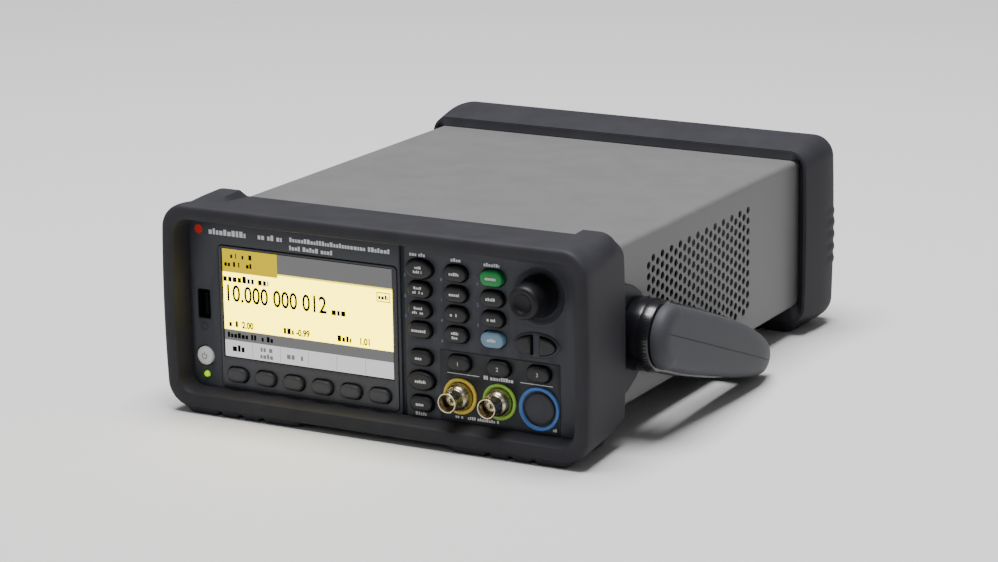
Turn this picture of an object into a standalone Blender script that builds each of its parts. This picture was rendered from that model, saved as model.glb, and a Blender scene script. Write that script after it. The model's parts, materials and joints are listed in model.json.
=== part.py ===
"""Bench frequency counter: metal sleeve, rubber bumpers, bail handle, keypad, knob, inputs and insides.

Design frame, in millimetres: X to the right, Y to the back, Z up. Its zero is the middle of the
front panel's face (X and Y) and the underside of the metal sleeve (Z). Every object is parented to
the empty "counter_origin", which puts the middle of the assembly's footprint at the world's zero.
"""
import math

import bmesh
import bpy
from mathutils import Matrix, Vector

MM = 0.001

# Overall body
OVERALL_DEPTH = 303.2
FRONT_MOST = -16.5
FOOT_BOTTOM = -15.6
SLEEVE_WIDTH = 212.8
SLEEVE_HEIGHT = 79.4
SLEEVE_FRONT = 4.2
SLEEVE_REAR = 251.6
SLEEVE_GAUGE = 1.0
SLEEVE_CORNER = 3.0
GAP = 0.3

# Front panel
PANEL_HALF_WIDTH = 106.8
PANEL_BOTTOM = -4.6
PANEL_TOP = 80.6
PANEL_THICKNESS = 2.6
PANEL_CORNER = 5.0
GROOVE_X = 13.0

# Screen and the strip of soft keys under it
SCREEN_CENTRE = (-40.2, 39.3)
SCREEN_WIDTH = 95.04
SCREEN_HEIGHT = 53.86
SCREEN_FRAME = (-89.4, -3.0, 9.8, 67.6)
SOFT_KEY_PITCH = 16.0
SOFT_KEY_Z = 3.9
SOFT_KEY_SIZE = (11.6, 6.8)

# Keys
KEY_COLUMNS = (22.6, 42.0, 61.3)
KEY_ROWS = (68.2, 58.4, 48.7, 38.9)
LOWER_ROWS = (25.5, 14.3, 3.1)
PILL_KEY_SIZE = (12.4, 7.4)
OVAL_KEY_SIZE = (14.2, 9.2)
KEY_FRONT = -2.6
KEY_BACK = 2.4
KEY_CLEARANCE = 0.35
ARROW_CENTRE = (83.8, 38.9)
ARROW_SPREAD = 2.3
ARROW_SIZE = (8.2, 8.8)

# Channel inputs, the knob above them and the left-hand column of small parts
CHANNEL_X = (43.2, 64.1, 85.0)
CHANNEL_KEY_Z = 25.4
CONNECTOR_Z = 9.3
BLANK_Z = 8.6
KNOB_CENTRE = (85.0, 62.4)
LEFT_COLUMN_X = -98.8
POWER_Z = 11.3
POWER_RADIUS = 4.65
LED_Z = 1.9
USB_Z = 37.2
USB_SIZE = (6.6, 14.0)

# Handle
PIVOT_Y = 52.5
PIVOT_Z = 34.6
HUB_RADIUS = 17.8
HUB_INNER_X = 108.5
HUB_OUTER_X = 122.6
ARM_INNER_X = 116.4
HANDLE_HALF_WIDTH = 130.55
HANDLE_DROP = 19.5
GRIP_RADIUS = 15.8
CROSSBAR_REACH = 115.0
CROSSBAR_OFFSET = -3.6
CROSSBAR_WIDTH = 22.0
CROSSBAR_THICKNESS = 8.6

# Rear
REAR_PANEL_FRONT = 247.4
REAR_PANEL_THICKNESS = 1.5
FAN_CENTRE = (-66.0, 38.0)
FAN_SIZE = 60.0
INLET_CENTRE = (78.0, 22.0)
REAR_INPUT_X = (-22.0, 0.0, 22.0, 44.0)
REAR_INPUT_Z = 60.0
LAN_CENTRE = (-10.0, 22.0)
USB_B_CENTRE = (18.0, 21.0)


# ---------------------------------------------------------------- scene and materials

for old in list(bpy.data.objects):
    bpy.data.objects.remove(old, do_unlink=True)

parts = bpy.data.collections.new("frequency_counter")
cutters = bpy.data.collections.new("cutters")
for collection in (parts, cutters):
    bpy.context.scene.collection.children.link(collection)

origin = bpy.data.objects.new("counter_origin", None)
origin.location = (0.0, -(FRONT_MOST + OVERALL_DEPTH / 2) * MM, -FOOT_BOTTOM * MM)
parts.objects.link(origin)

FINISHES = {
    "rubber": ((0.045, 0.045, 0.050), 0.75, 0.0),
    "panel": ((0.050, 0.050, 0.055), 0.55, 0.0),
    "frame": ((0.035, 0.036, 0.040), 0.50, 0.0),
    "key": ((0.030, 0.031, 0.034), 0.60, 0.0),
    "green_key": ((0.02, 0.33, 0.08), 0.50, 0.0),
    "blue_key": ((0.25, 0.42, 0.60), 0.50, 0.0),
    "power_key": ((0.60, 0.60, 0.60), 0.45, 0.0),
    "led": ((0.45, 0.75, 0.10), 0.30, 0.0),
    "yellow_ring": ((0.75, 0.50, 0.03), 0.40, 0.0),
    "green_ring": ((0.28, 0.50, 0.03), 0.40, 0.0),
    "blue_ring": ((0.04, 0.17, 0.45), 0.40, 0.0),
    "nickel": ((0.62, 0.58, 0.50), 0.25, 1.0),
    "sleeve": ((0.30, 0.30, 0.31), 0.50, 0.3),
    "steel": ((0.55, 0.56, 0.57), 0.35, 1.0),
    "gloss_black": ((0.01, 0.01, 0.012), 0.15, 0.0),
    "grip": ((0.080, 0.080, 0.085), 0.65, 0.0),
    "board": ((0.02, 0.12, 0.05), 0.50, 0.0),
    "glass": ((0.75, 0.74, 0.62), 0.10, 0.0),
    "black": ((0.02, 0.02, 0.02), 0.50, 0.0),
}


def finish(obj, kind):
    """Give the object a material of its own in one of the finishes."""
    colour, roughness, metallic = FINISHES[kind]
    material = bpy.data.materials.new(obj.name)
    material.use_nodes = True
    shader = material.node_tree.nodes["Principled BSDF"]
    shader.inputs["Base Color"].default_value = (*colour, 1.0)
    shader.inputs["Roughness"].default_value = roughness
    shader.inputs["Metallic"].default_value = metallic
    obj.data.materials.clear()
    obj.data.materials.append(material)
    obj.data.shade_smooth()
    obj.data.set_sharp_from_angle(angle=math.radians(35))


def place(name, mesh, centre, kind, parent=None):
    """Link a mesh as a named part, or as a cutter when it has no finish."""
    obj = bpy.data.objects.new(name, mesh)
    obj.parent = parent or origin
    obj.location = Vector(centre) * MM
    if kind is None:
        cutters.objects.link(obj)
        obj.hide_render = True
        obj.display_type = "WIRE"
    else:
        parts.objects.link(obj)
        finish(obj, kind)
    return obj


def bevel(obj, width, segments=1):
    modifier = obj.modifiers.new("rounded edges", "BEVEL")
    modifier.width = width * MM
    modifier.segments = segments
    modifier.limit_method = "ANGLE"
    modifier.angle_limit = math.radians(50)


def boolean(obj, other, operation):
    modifier = obj.modifiers.new(operation.lower(), "BOOLEAN")
    modifier.operation = operation
    modifier.solver = "EXACT"
    modifier.object = other


# ---------------------------------------------------------------- basic shapes

def mesh_of(name, build):
    """Make a mesh datablock from a function that fills a bmesh."""
    bm = bmesh.new()
    build(bm)
    bmesh.ops.recalc_face_normals(bm, faces=bm.faces)
    mesh = bpy.data.meshes.new(name)
    bm.to_mesh(mesh)
    bm.free()
    return mesh


def add_box(bm, low, high):
    """Add a box between two corners, in millimetres."""
    made = bmesh.ops.create_cube(bm, size=1.0)["verts"]
    low, high = Vector(low) * MM, Vector(high) * MM
    size = high - low
    bmesh.ops.scale(bm, vec=size, verts=made)
    bmesh.ops.translate(bm, vec=(low + high) / 2, verts=made)


def boxes(name, corners, kind, parent=None):
    """One object of separate boxes, each given by its low and high corner."""
    def build(bm):
        for low, high in corners:
            add_box(bm, low, high)
    return place(name, mesh_of(name, build), (0, 0, 0), kind, parent)


def cut_boxes(obj, corners):
    """Cut one box at a time out of an object, so that the boxes may overlap."""
    for index, corner in enumerate(corners):
        boolean(obj, boxes(f"{obj.name}_cut_{index}", [corner], None), "DIFFERENCE")


def arc(centre, radius, start, end, steps):
    """Points on an arc, angles in degrees."""
    angles = [math.radians(start + (end - start) * i / steps) for i in range(steps + 1)]
    return [(centre[0] + radius * math.cos(a), centre[1] + radius * math.sin(a)) for a in angles]


def rounded_rectangle(low, high, radius, steps=4):
    x0, z0 = low
    x1, z1 = high
    points = arc((x1 - radius, z1 - radius), radius, 0, 90, steps)
    points += arc((x0 + radius, z1 - radius), radius, 90, 180, steps)
    points += arc((x0 + radius, z0 + radius), radius, 180, 270, steps)
    points += arc((x1 - radius, z0 + radius), radius, 270, 360, steps)
    return points


def pill(centre, size, grow=0.0):
    """A bar with fully round ends."""
    width, height = size[0] + 2 * grow, size[1] + 2 * grow
    x, z = centre
    radius = height / 2
    reach = width / 2 - radius
    points = arc((x + reach, z), radius, -90, 90, 5)
    return points + arc((x - reach, z), radius, 90, 270, 5)


def oval(centre, size, grow=0.0, steps=16):
    a, b = size[0] / 2 + grow, size[1] / 2 + grow
    turns = [2 * math.pi * i / steps for i in range(steps)]
    return [(centre[0] + a * math.cos(t), centre[1] + b * math.sin(t)) for t in turns]


def circle(centre, radius, steps=16):
    return oval(centre, (2 * radius, 2 * radius), steps=steps)


def half_lens(centre, size, side, grow=0.0):
    """A key shaped like half a lens; side -1 points left, 1 points right."""
    length, height = size[0] + grow, size[1] / 2 + grow
    x, z = centre
    curve = [math.pi * (i / 8 - 0.5) for i in range(9)]
    points = [(x + side * length * math.cos(t) ** 1.1, z + height * math.sin(t)) for t in curve]
    return [(px - side * grow, pz) for px, pz in points]


def add_prism(bm, loop, span, axis):
    """Extrude one outline of (x, z) along Y, or of (y, z) along X, over span (low, high)."""
    if axis == "Y":
        corners = [(a, span[0], b) for a, b in loop]
        travel = Vector((0, span[1] - span[0], 0))
    else:
        corners = [(span[0], a, b) for a, b in loop]
        travel = Vector((span[1] - span[0], 0, 0))
    face = bm.faces.new([bm.verts.new(Vector(corner) * MM) for corner in corners])
    made = bmesh.ops.extrude_face_region(bm, geom=[face], use_keep_orig=True)["geom"]
    moved = [item for item in made if isinstance(item, bmesh.types.BMVert)]
    bmesh.ops.translate(bm, vec=travel * MM, verts=moved)


def prisms(name, loops, span, kind, axis="Y", parent=None):
    """One object of separate extruded outlines."""
    def build(bm):
        for loop in loops:
            add_prism(bm, loop, span, axis)
    return place(name, mesh_of(name, build), (0, 0, 0), kind, parent)


def extrusion(name, loops, span, kind, axis="Y", parent=None):
    """An extruded outline; the loops after the first are holes through it."""
    obj = prisms(name, loops[:1], span, kind, axis, parent)
    if len(loops) > 1:
        through = (span[0] - 1.0, span[1] + 1.0)
        boolean(obj, prisms(name + "_holes", loops[1:], through, None, axis, parent), "DIFFERENCE")
    return obj


def turned(name, profiles, centre, kind, steps=24, closed=False, parent=None):
    """Turn a profile of (radius, height) round the Y axis; height is measured to the front."""
    def build(bm):
        verts = [bm.verts.new((r * MM, 0.0, h * MM)) for r, h in profiles]
        for a, b in zip(verts, verts[1:]):
            bm.edges.new((a, b))
        if closed:
            bm.edges.new((verts[-1], verts[0]))
    obj = place(name, mesh_of(name, build), centre, kind, parent)
    obj.rotation_euler = (math.pi / 2, 0, 0)
    screw = obj.modifiers.new("turn", "SCREW")
    screw.steps = steps
    screw.render_steps = steps
    screw.use_merge_vertices = True
    screw.merge_threshold = 0.00001
    screw.use_smooth_shade = True
    return obj


def mirrored(name, source, kind, parent=None):
    """A left-hand copy of a right-hand part, as its own object."""
    mesh = source.data.copy()
    obj = place(name, mesh, (0, 0, 0), kind, parent)
    bpy.context.view_layer.update()
    mesh.transform(obj.parent.matrix_world.inverted() @ source.matrix_world)
    for vertex in mesh.vertices:
        vertex.co.x = -vertex.co.x
    mesh.flip_normals()
    return obj


# ---------------------------------------------------------------- sleeve and bumpers

def boot_ring(y, half_width, low, high, radius, bow):
    """A rounded rectangle at depth y whose upright sides swell by bow at mid-height."""
    corners = rounded_rectangle((-half_width, low), (half_width, high), radius, 5)
    middle, reach = (low + high) / 2, (high - low) / 2
    ring = []
    for index, (x, z) in enumerate(corners):
        ring.append((x, z))
        after = corners[(index + 1) % len(corners)]
        if abs(after[0] - x) < 0.01:
            ring += [(x, z + (after[1] - z) * share / 4) for share in (1, 2, 3)]
    return [(x + math.copysign(bow * (1 - ((z - middle) / reach) ** 2), x), y, z) for x, z in ring]


def boot(name, sections, kind):
    """A rubber boot: a closed loop of rings round the case, from outside to inside."""
    def build(bm):
        rings = [[bm.verts.new(Vector(p) * MM) for p in boot_ring(*s)] for s in sections]
        for ring, other in zip(rings, rings[1:] + rings[:1]):
            for i in range(len(ring)):
                j = (i + 1) % len(ring)
                bm.faces.new((ring[i], ring[j], other[j], other[i]))
    return place(name, mesh_of(name, build), (0, 0, 0), kind)


def foot_outline(inner_x, outer_x, top, notches, side):
    """Side-to-side section of a foot pad, with round flutes across its underside."""
    points = [(inner_x - 7.0, top), (inner_x, FOOT_BOTTOM)]
    for notch in notches:
        points += arc((notch, FOOT_BOTTOM), 1.7, 180, 0, 4)
    points += [(outer_x, FOOT_BOTTOM), (outer_x + 5.0, top)]
    return [(side * x, z) for x, z in points]


NOTCHES = (62.0, 74.0, 86.0)


def add_feet(bumper, span, top):
    for side in (-1, 1):
        label = bumper.name + ("_left_foot" if side < 0 else "_right_foot")
        outline = foot_outline(45.0, 97.0, top, NOTCHES, side)
        boolean(bumper, extrusion(label, [outline], span, None), "UNION")


def add_pads(bumper, centres, size, span, grow_axis):
    """Low rounded pads joined to a bumper, one at each given (x, z) centre."""
    for index, (x, z) in enumerate(centres):
        low = (x - size[0] / 2, z - size[1] / 2)
        high = (x + size[0] / 2, z + size[1] / 2)
        outline = rounded_rectangle(low, high, min(size) * 0.35, 3)
        pad = extrusion(f"{bumper.name}_{grow_axis}_{index}", [outline], span, None)
        boolean(bumper, pad, "UNION")


POCKET = SLEEVE_WIDTH / 2 + 0.35
SLEEVE_POCKET = (POCKET, -0.35, SLEEVE_HEIGHT + 0.35, SLEEVE_CORNER + 0.35, 0.0)
PANEL_POCKET = (PANEL_HALF_WIDTH + 0.4, PANEL_BOTTOM - 0.4, PANEL_TOP + 0.4, PANEL_CORNER + 0.4, 0.0)

extrusion(
    "case_sleeve",
    [rounded_rectangle((-SLEEVE_WIDTH / 2, 0), (SLEEVE_WIDTH / 2, SLEEVE_HEIGHT), SLEEVE_CORNER),
     rounded_rectangle((SLEEVE_GAUGE - SLEEVE_WIDTH / 2, SLEEVE_GAUGE),
                       (SLEEVE_WIDTH / 2 - SLEEVE_GAUGE, SLEEVE_HEIGHT - SLEEVE_GAUGE),
                       SLEEVE_CORNER - SLEEVE_GAUGE)],
    (SLEEVE_FRONT, SLEEVE_REAR), "sleeve")

front_bumper = boot("front_bumper", [
    (33.0, 110.4, -7.6, 83.0, 8.0, 0.6),
    (31.6, 111.6, -8.8, 84.2, 9.0, 0.8),
    (10.0, 113.4, -10.9, 86.3, 10.5, 1.2),
    (-5.0, 114.2, -12.8, 88.2, 12.0, 1.4),
    (-8.6, 113.4, -12.2, 87.4, 11.5, 1.5),
    (-10.8, 111.4, -9.8, 85.2, 10.0, 1.6),
    (-11.0, 109.6, -7.4, 82.8, 9.0, 1.6),
    (-10.4, 107.2, -4.8, 80.9, 7.5, 1.4),
    (-0.4, 106.0, -3.8, 79.9, 6.0, 0.2),
    (-0.4, *PANEL_POCKET),
    (3.2, *PANEL_POCKET),
    (3.2, *SLEEVE_POCKET),
    (33.0, *SLEEVE_POCKET),
], "rubber")
add_feet(front_bumper, (-9.0, 29.0), -7.0)
add_pads(front_bumper, [(-101.5, 84.0), (101.5, 84.0)], (14.0, 6.2), (12.0, 30.0), "top_pad")

rear_bumper = boot("rear_bumper", [
    (243.9, 110.4, -7.6, 83.0, 8.0, 0.6),
    (245.4, 111.6, -8.8, 84.2, 9.0, 0.8),
    (262.0, 113.8, -12.2, 87.6, 11.0, 1.0),
    (273.0, 113.8, -12.0, 87.0, 11.0, 1.0),
    (278.6, 111.0, -9.6, 84.4, 9.0, 1.0),
    (280.6, 107.6, -6.2, 81.0, 7.0, 0.8),
    (280.0, 103.6, -1.6, 77.2, 5.0, 0.4),
    (252.6, 102.0, 3.4, 76.0, 4.0, 0.0),
    (252.0, 102.0, 3.4, 76.0, 4.0, 0.0),
    (252.0, *SLEEVE_POCKET),
    (243.9, *SLEEVE_POCKET),
], "rubber")
add_feet(rear_bumper, (248.0, 275.0), -7.0)
add_pads(rear_bumper, [(side * 102.5, z) for side in (-1, 1) for z in (71.5, 3.5)],
         (15.4, 13.0), (276.0, FRONT_MOST + OVERALL_DEPTH), "standing_pad")


# ---------------------------------------------------------------- front panel and screen

SCREEN_LOW = (SCREEN_CENTRE[0] - SCREEN_WIDTH / 2, SCREEN_CENTRE[1] - SCREEN_HEIGHT / 2)
SCREEN_HIGH = (SCREEN_CENTRE[0] + SCREEN_WIDTH / 2, SCREEN_CENTRE[1] + SCREEN_HEIGHT / 2)
FRAME_LOW, FRAME_HIGH = SCREEN_FRAME[:2], SCREEN_FRAME[2:]

KEY_NAMES = (
    ("autoscale", "frequency", "interval", "totalize", "gate", "trigger", "back"),
    ("digits", "graph", "math", "log"),
    ("preset", "utility", "help", "shift"),
)
KEY_FINISHES = {"preset": "green_key", "shift": "blue_key"}
OVAL_KEYS = ("autoscale", "trigger")
SOFT_KEYS = [(SCREEN_CENTRE[0] + (i - 2.5) * SOFT_KEY_PITCH, SOFT_KEY_Z) for i in range(6)]


def key_table():
    """Every key on the main panel: name, outline function, centre and size."""
    table = []
    for x, names in zip(KEY_COLUMNS, KEY_NAMES):
        for z, name in zip(KEY_ROWS + LOWER_ROWS, names):
            if name in OVAL_KEYS:
                table.append((name + "_key", oval, (x, z), OVAL_KEY_SIZE))
            else:
                table.append((name + "_key", pill, (x, z), PILL_KEY_SIZE))
    for number, x in enumerate(CHANNEL_X, start=1):
        table.append((f"channel_{number}_key", pill, (x, CHANNEL_KEY_Z), PILL_KEY_SIZE))
    return table


ARROW_LEFT = (ARROW_CENTRE[0] - ARROW_SPREAD, ARROW_CENTRE[1])
ARROW_RIGHT = (ARROW_CENTRE[0] + ARROW_SPREAD, ARROW_CENTRE[1])

panel_holes = [shape(centre, size, KEY_CLEARANCE) for _, shape, centre, size in key_table()]
panel_holes += [
    half_lens(ARROW_LEFT, ARROW_SIZE, -1, KEY_CLEARANCE),
    half_lens(ARROW_RIGHT, ARROW_SIZE, 1, KEY_CLEARANCE),
    rounded_rectangle([v - GAP for v in FRAME_LOW], [v + GAP for v in FRAME_HIGH], 2.5, 3),
    circle(KNOB_CENTRE, 5.2),
    circle((CHANNEL_X[0], CONNECTOR_Z), 5.2),
    circle((CHANNEL_X[1], CONNECTOR_Z), 5.2),
    circle((CHANNEL_X[2], BLANK_Z), 6.5),
    circle((LEFT_COLUMN_X, POWER_Z), POWER_RADIUS + KEY_CLEARANCE),
    circle((LEFT_COLUMN_X, LED_Z), 1.9, 12),
    rounded_rectangle((LEFT_COLUMN_X - USB_SIZE[0] / 2 - GAP, USB_Z - USB_SIZE[1] / 2 - GAP),
                      (LEFT_COLUMN_X + USB_SIZE[0] / 2 + GAP, USB_Z + USB_SIZE[1] / 2 + GAP), 0.8, 2),
]
front_panel = extrusion(
    "front_panel",
    [rounded_rectangle((-PANEL_HALF_WIDTH, PANEL_BOTTOM), (PANEL_HALF_WIDTH, PANEL_TOP),
                       PANEL_CORNER)] + panel_holes,
    (0.0, PANEL_THICKNESS), "panel")
groove = boxes("panel_groove", [((GROOVE_X - 0.7, -1.0, PANEL_BOTTOM - 1),
                                 (GROOVE_X + 0.7, 1.2, PANEL_TOP + 1))], None)
boolean(front_panel, groove, "DIFFERENCE")

screen_frame = extrusion(
    "screen_frame",
    [rounded_rectangle(FRAME_LOW, FRAME_HIGH, 2.2, 3),
     rounded_rectangle([v - GAP for v in SCREEN_LOW], [v + GAP for v in SCREEN_HIGH], 0.6, 2)]
    + [pill(centre, SOFT_KEY_SIZE, KEY_CLEARANCE) for centre in SOFT_KEYS],
    (-0.4, PANEL_THICKNESS), "frame")
screen_window = extrusion("screen_window", [rounded_rectangle(SCREEN_LOW, SCREEN_HIGH, 0.4, 1)],
                          (0.2, 1.8), "glass")
screen_module = boxes("screen_module", [((-91.0, 3.1, 9.4), (11.0, 9.4, 70.0))], "steel")
bevel(screen_module, 0.6)

keypad_board = extrusion(
    "keypad_board",
    [[(-94.0, 1.6), (104.0, 1.6), (104.0, 77.6), (12.2, 77.6), (12.2, 8.6), (-94.0, 8.6)],
     circle(KNOB_CENTRE, 3.8, 12),
     circle((CHANNEL_X[0], CONNECTOR_Z), 5.6, 12),
     circle((CHANNEL_X[1], CONNECTOR_Z), 5.6, 12),
     circle((CHANNEL_X[2], BLANK_Z + 0.6), 6.4, 12)],
    (4.6, 6.2), "board")


# ---------------------------------------------------------------- keys

def key(name, outline, kind, front=KEY_FRONT):
    cap = extrusion(name, [outline], (front, KEY_BACK), kind)
    bevel(cap, 0.7)
    return cap


for name, shape, centre, size in key_table():
    key(name, shape(centre, size), KEY_FINISHES.get(name.removesuffix("_key"), "key"))
for number, centre in enumerate(SOFT_KEYS, start=1):
    key(f"soft_key_{number}", pill(centre, SOFT_KEY_SIZE), "key")
key("left_arrow_key", half_lens(ARROW_LEFT, ARROW_SIZE, -1), "key")
key("right_arrow_key", half_lens(ARROW_RIGHT, ARROW_SIZE, 1), "key")
key("power_button", circle((LEFT_COLUMN_X, POWER_Z), POWER_RADIUS, 20), "power_key", -1.4)


# ---------------------------------------------------------------- knob and its encoder

turned("tuning_knob", [
    (0.0, 14.6), (3.4, 15.0), (4.4, 15.9), (5.4, 16.5), (7.2, 16.2), (8.1, 14.8), (8.7, 8.0),
    (9.2, 3.2), (10.2, 1.2), (10.2, 0.6), (3.4, 0.6), (3.4, 11.0), (0.0, 11.0)],
    (KNOB_CENTRE[0], 0.0, KNOB_CENTRE[1]), "frame", 28)
turned("knob_encoder", [
    (0.0, 10.4), (3.0, 10.4), (3.0, -6.6), (6.6, -6.6), (6.6, -13.0), (0.0, -13.0)],
    (KNOB_CENTRE[0], 0.0, KNOB_CENTRE[1]), "steel", 16)


# ---------------------------------------------------------------- front connectors

def bnc(name, centre, kind="nickel", steps=20):
    """A bulkhead bayonet jack: dome flange, neck, rim, insulator and centre contact."""
    body = turned(name, [
        (0.0, 10.0), (0.9, 10.0), (0.9, 8.8), (2.4, 8.8), (2.4, 6.0), (4.05, 6.0), (4.05, 13.4),
        (4.85, 13.5), (4.85, 12.0), (4.5, 11.8), (4.5, 5.4), (6.4, 3.6), (6.7, 0.6), (6.7, GAP),
        (4.9, GAP), (4.9, -3.2), (4.9, -14.0), (0.0, -14.0)], centre, kind, steps)
    def lugs(bm):
        for side in (-1, 1):
            made = bmesh.ops.create_cone(bm, cap_ends=True, segments=8, radius1=1.0 * MM,
                                         radius2=1.0 * MM, depth=1.3 * MM)["verts"]
            bmesh.ops.translate(bm, vec=(0, 0, side * 4.95 * MM), verts=made)
    lug = place(name + "_lugs", mesh_of(name + "_lugs", lugs),
                (centre[0], centre[1] - 9.8, centre[2]), None)
    boolean(body, lug, "UNION")
    return body


def ring(name, centre, outer, inner, kind):
    return turned(name, [
        (inner, 1.5), (outer - 0.5, 1.5), (outer, 1.0), (outer, GAP), (inner, GAP)],
        centre, kind, 24, closed=True)


bnc("input_1", (CHANNEL_X[0], 0.0, CONNECTOR_Z))
bnc("input_2", (CHANNEL_X[1], 0.0, CONNECTOR_Z))
ring("input_1_ring", (CHANNEL_X[0], 0.0, CONNECTOR_Z), 8.75, 7.0, "yellow_ring")
ring("input_2_ring", (CHANNEL_X[1], 0.0, CONNECTOR_Z), 8.75, 7.0, "green_ring")
ring("channel_3_ring", (CHANNEL_X[2], 0.0, BLANK_Z), 10.6, 8.2, "blue_ring")
turned("channel_3_blank", [
    (0.0, 1.1), (6.9, 1.1), (7.9, 0.7), (7.9, GAP), (6.2, GAP), (6.2, -PANEL_THICKNESS),
    (0.0, -PANEL_THICKNESS)],
    (CHANNEL_X[2], 0.0, BLANK_Z), "panel", 24)

x0, x1 = LEFT_COLUMN_X - USB_SIZE[0] / 2, LEFT_COLUMN_X + USB_SIZE[0] / 2
z0, z1 = USB_Z - USB_SIZE[1] / 2, USB_Z + USB_SIZE[1] / 2
usb = boxes("usb_socket", [((x0, 0.2, z0), (x1, 14.0, z1))], "steel")
cut_boxes(usb, [((x0 + 0.6, -1.0, z0 + 0.6), (x1 - 3.0, 12.5, z1 - 0.6)),
                ((x1 - 1.1, -1.0, z0 + 0.6), (x1 - 0.6, 12.5, z1 - 0.6)),
                ((x1 - 3.3, -1.0, z0 + 0.6), (x1 - 0.9, 1.2, z1 - 0.6))])

turned("power_led", [(0.0, 0.7), (0.9, 0.5), (1.5, 0.0), (1.5, -3.0), (0.0, -3.0)],
       (LEFT_COLUMN_X, 0.0, LED_Z), "led", 14)


# ---------------------------------------------------------------- handle

handle = bpy.data.objects.new("handle_pivot", None)
handle.parent = origin
handle.location = Vector((0, PIVOT_Y, PIVOT_Z)) * MM
parts.objects.link(handle)
bpy.context.view_layer.update()

ARM_ANGLE = math.radians(-HANDLE_DROP)
ARM_DIRECTION = Vector((0, math.cos(ARM_ANGLE), math.sin(ARM_ANGLE)))


def along_arm(distance, across):
    """A point (y, z) from the pivot: distance down the arm and across it, upwards."""
    c, s = math.cos(ARM_ANGLE), math.sin(ARM_ANGLE)
    return (distance * c - across * s, distance * s + across * c)


def arm_outline(hub_radius, lower, upper):
    """Round hub end and the tapering edges below and above the arm's centre line."""
    points = arc((0, 0), hub_radius, 78 - HANDLE_DROP, 282 - HANDLE_DROP, 14)
    return points + [along_arm(*point) for point in lower + upper]


# The hub is a full disc that starts with the arm's own arc, so that the two share its facets
HUB_OUTLINE = (arc((0, 0), HUB_RADIUS, 78 - HANDLE_DROP, 282 - HANDLE_DROP, 14)
               + arc((0, 0), HUB_RADIUS, 282 - HANDLE_DROP, 438 - HANDLE_DROP, 11)[1:-1])
FRAME_LOWER = [(30, -17.0), (70, -14.6), (100, -11.6), (118, -8.2), (124.5, -4.0)]
FRAME_UPPER = [(125.5, 2.0), (119, 8.4), (104, 13.4), (85, 16.4), (30, 17.4)]
GRIP_LOWER = [(29, -15.0), (57, -14.0), (101, -10.9), (122, -7.8), (127.4, -3.6)]
GRIP_UPPER = [(128.6, 2.4), (122, 8.6), (101, 12.6), (76, 14.6), (30, 15.4)]


def draw_in(obj, inner_x, share):
    """Narrow an arm towards its outer face, by a share of its half-width for each 10 mm out."""
    into_pivot = handle.matrix_world.inverted() @ obj.matrix_world
    back = into_pivot.inverted()
    for vertex in obj.data.vertices:
        point = into_pivot @ vertex.co
        centre = ARM_DIRECTION * max(0.0, point.dot(ARM_DIRECTION))
        centre.x = point.x
        factor = 1 - share * max(0.0, point.x / MM - inner_x) / 10
        vertex.co = back @ (centre + (point - centre) * factor)


half_w, half_t = CROSSBAR_WIDTH / 2, CROSSBAR_THICKNESS / 2
bar_y, bar_z = along_arm(CROSSBAR_REACH, CROSSBAR_OFFSET)
frame = extrusion(
    "handle_frame",
    [rounded_rectangle((bar_y - half_w, bar_z - half_t), (bar_y + half_w, bar_z + half_t), 3.6, 3)],
    (-ARM_INNER_X - 2.0, ARM_INNER_X + 2.0), "gloss_black", "X", handle)
hub_right = extrusion("frame_hub_right", [HUB_OUTLINE], (HUB_INNER_X, ARM_INNER_X + 3.0), None, "X",
                      handle)
arm_right = extrusion("frame_arm_right", [arm_outline(HUB_RADIUS, FRAME_LOWER, FRAME_UPPER)],
                      (ARM_INNER_X, HUB_OUTER_X), None, "X", handle)
grip_right = extrusion("handle_grip_right", [arm_outline(GRIP_RADIUS, GRIP_LOWER, GRIP_UPPER)],
                       (HUB_OUTER_X + GAP, HANDLE_HALF_WIDTH), "grip", "X", handle)
bpy.context.view_layer.update()
for part in (hub_right, arm_right):
    draw_in(part, HUB_INNER_X, 0.08)
hub_left = mirrored("frame_hub_left", hub_right, None, handle)
arm_left = mirrored("frame_arm_left", arm_right, None, handle)
grip_left = mirrored("handle_grip_left", grip_right, "grip", handle)
for part in (hub_left, arm_left, hub_right, arm_right):
    bevel(part, 0.8)
    boolean(frame, part, "UNION")
for grip in (grip_left, grip_right):
    bevel(grip, 3.4, 2)


def handle_mount(side):
    """The pivot plate on the side of the sleeve, with the low boss that carries the hub."""
    outer_x = HUB_INNER_X - 0.5
    outline = [(33.6, 5.0), (44.5, 8.0), (56.5, 14.5), (64.0, 22.0), (66.0, 37.0), (63.0, 49.0),
               (56.0, 55.5), (44.0, 60.5), (33.6, 61.5)]
    spans = sorted((side * (SLEEVE_WIDTH / 2 + GAP), side * outer_x))
    name = "handle_mount_right" if side > 0 else "handle_mount_left"
    return extrusion(name, [outline], spans, "black", "X")


for side in (-1, 1):
    handle_mount(side)


# ---------------------------------------------------------------- rear panel and its parts

def slotted_circle(centre, spacing, rows, radius):
    """Centres of round holes on a hexagonal grid inside a circle."""
    found = []
    for row in range(-rows, rows + 1):
        z = row * spacing * math.sqrt(3) / 2
        offset = spacing / 2 if row % 2 else 0.0
        for column in range(-rows, rows + 1):
            x = column * spacing + offset
            if math.hypot(x, z) <= radius:
                found.append((centre[0] + x, centre[1] + z))
    return found


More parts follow.
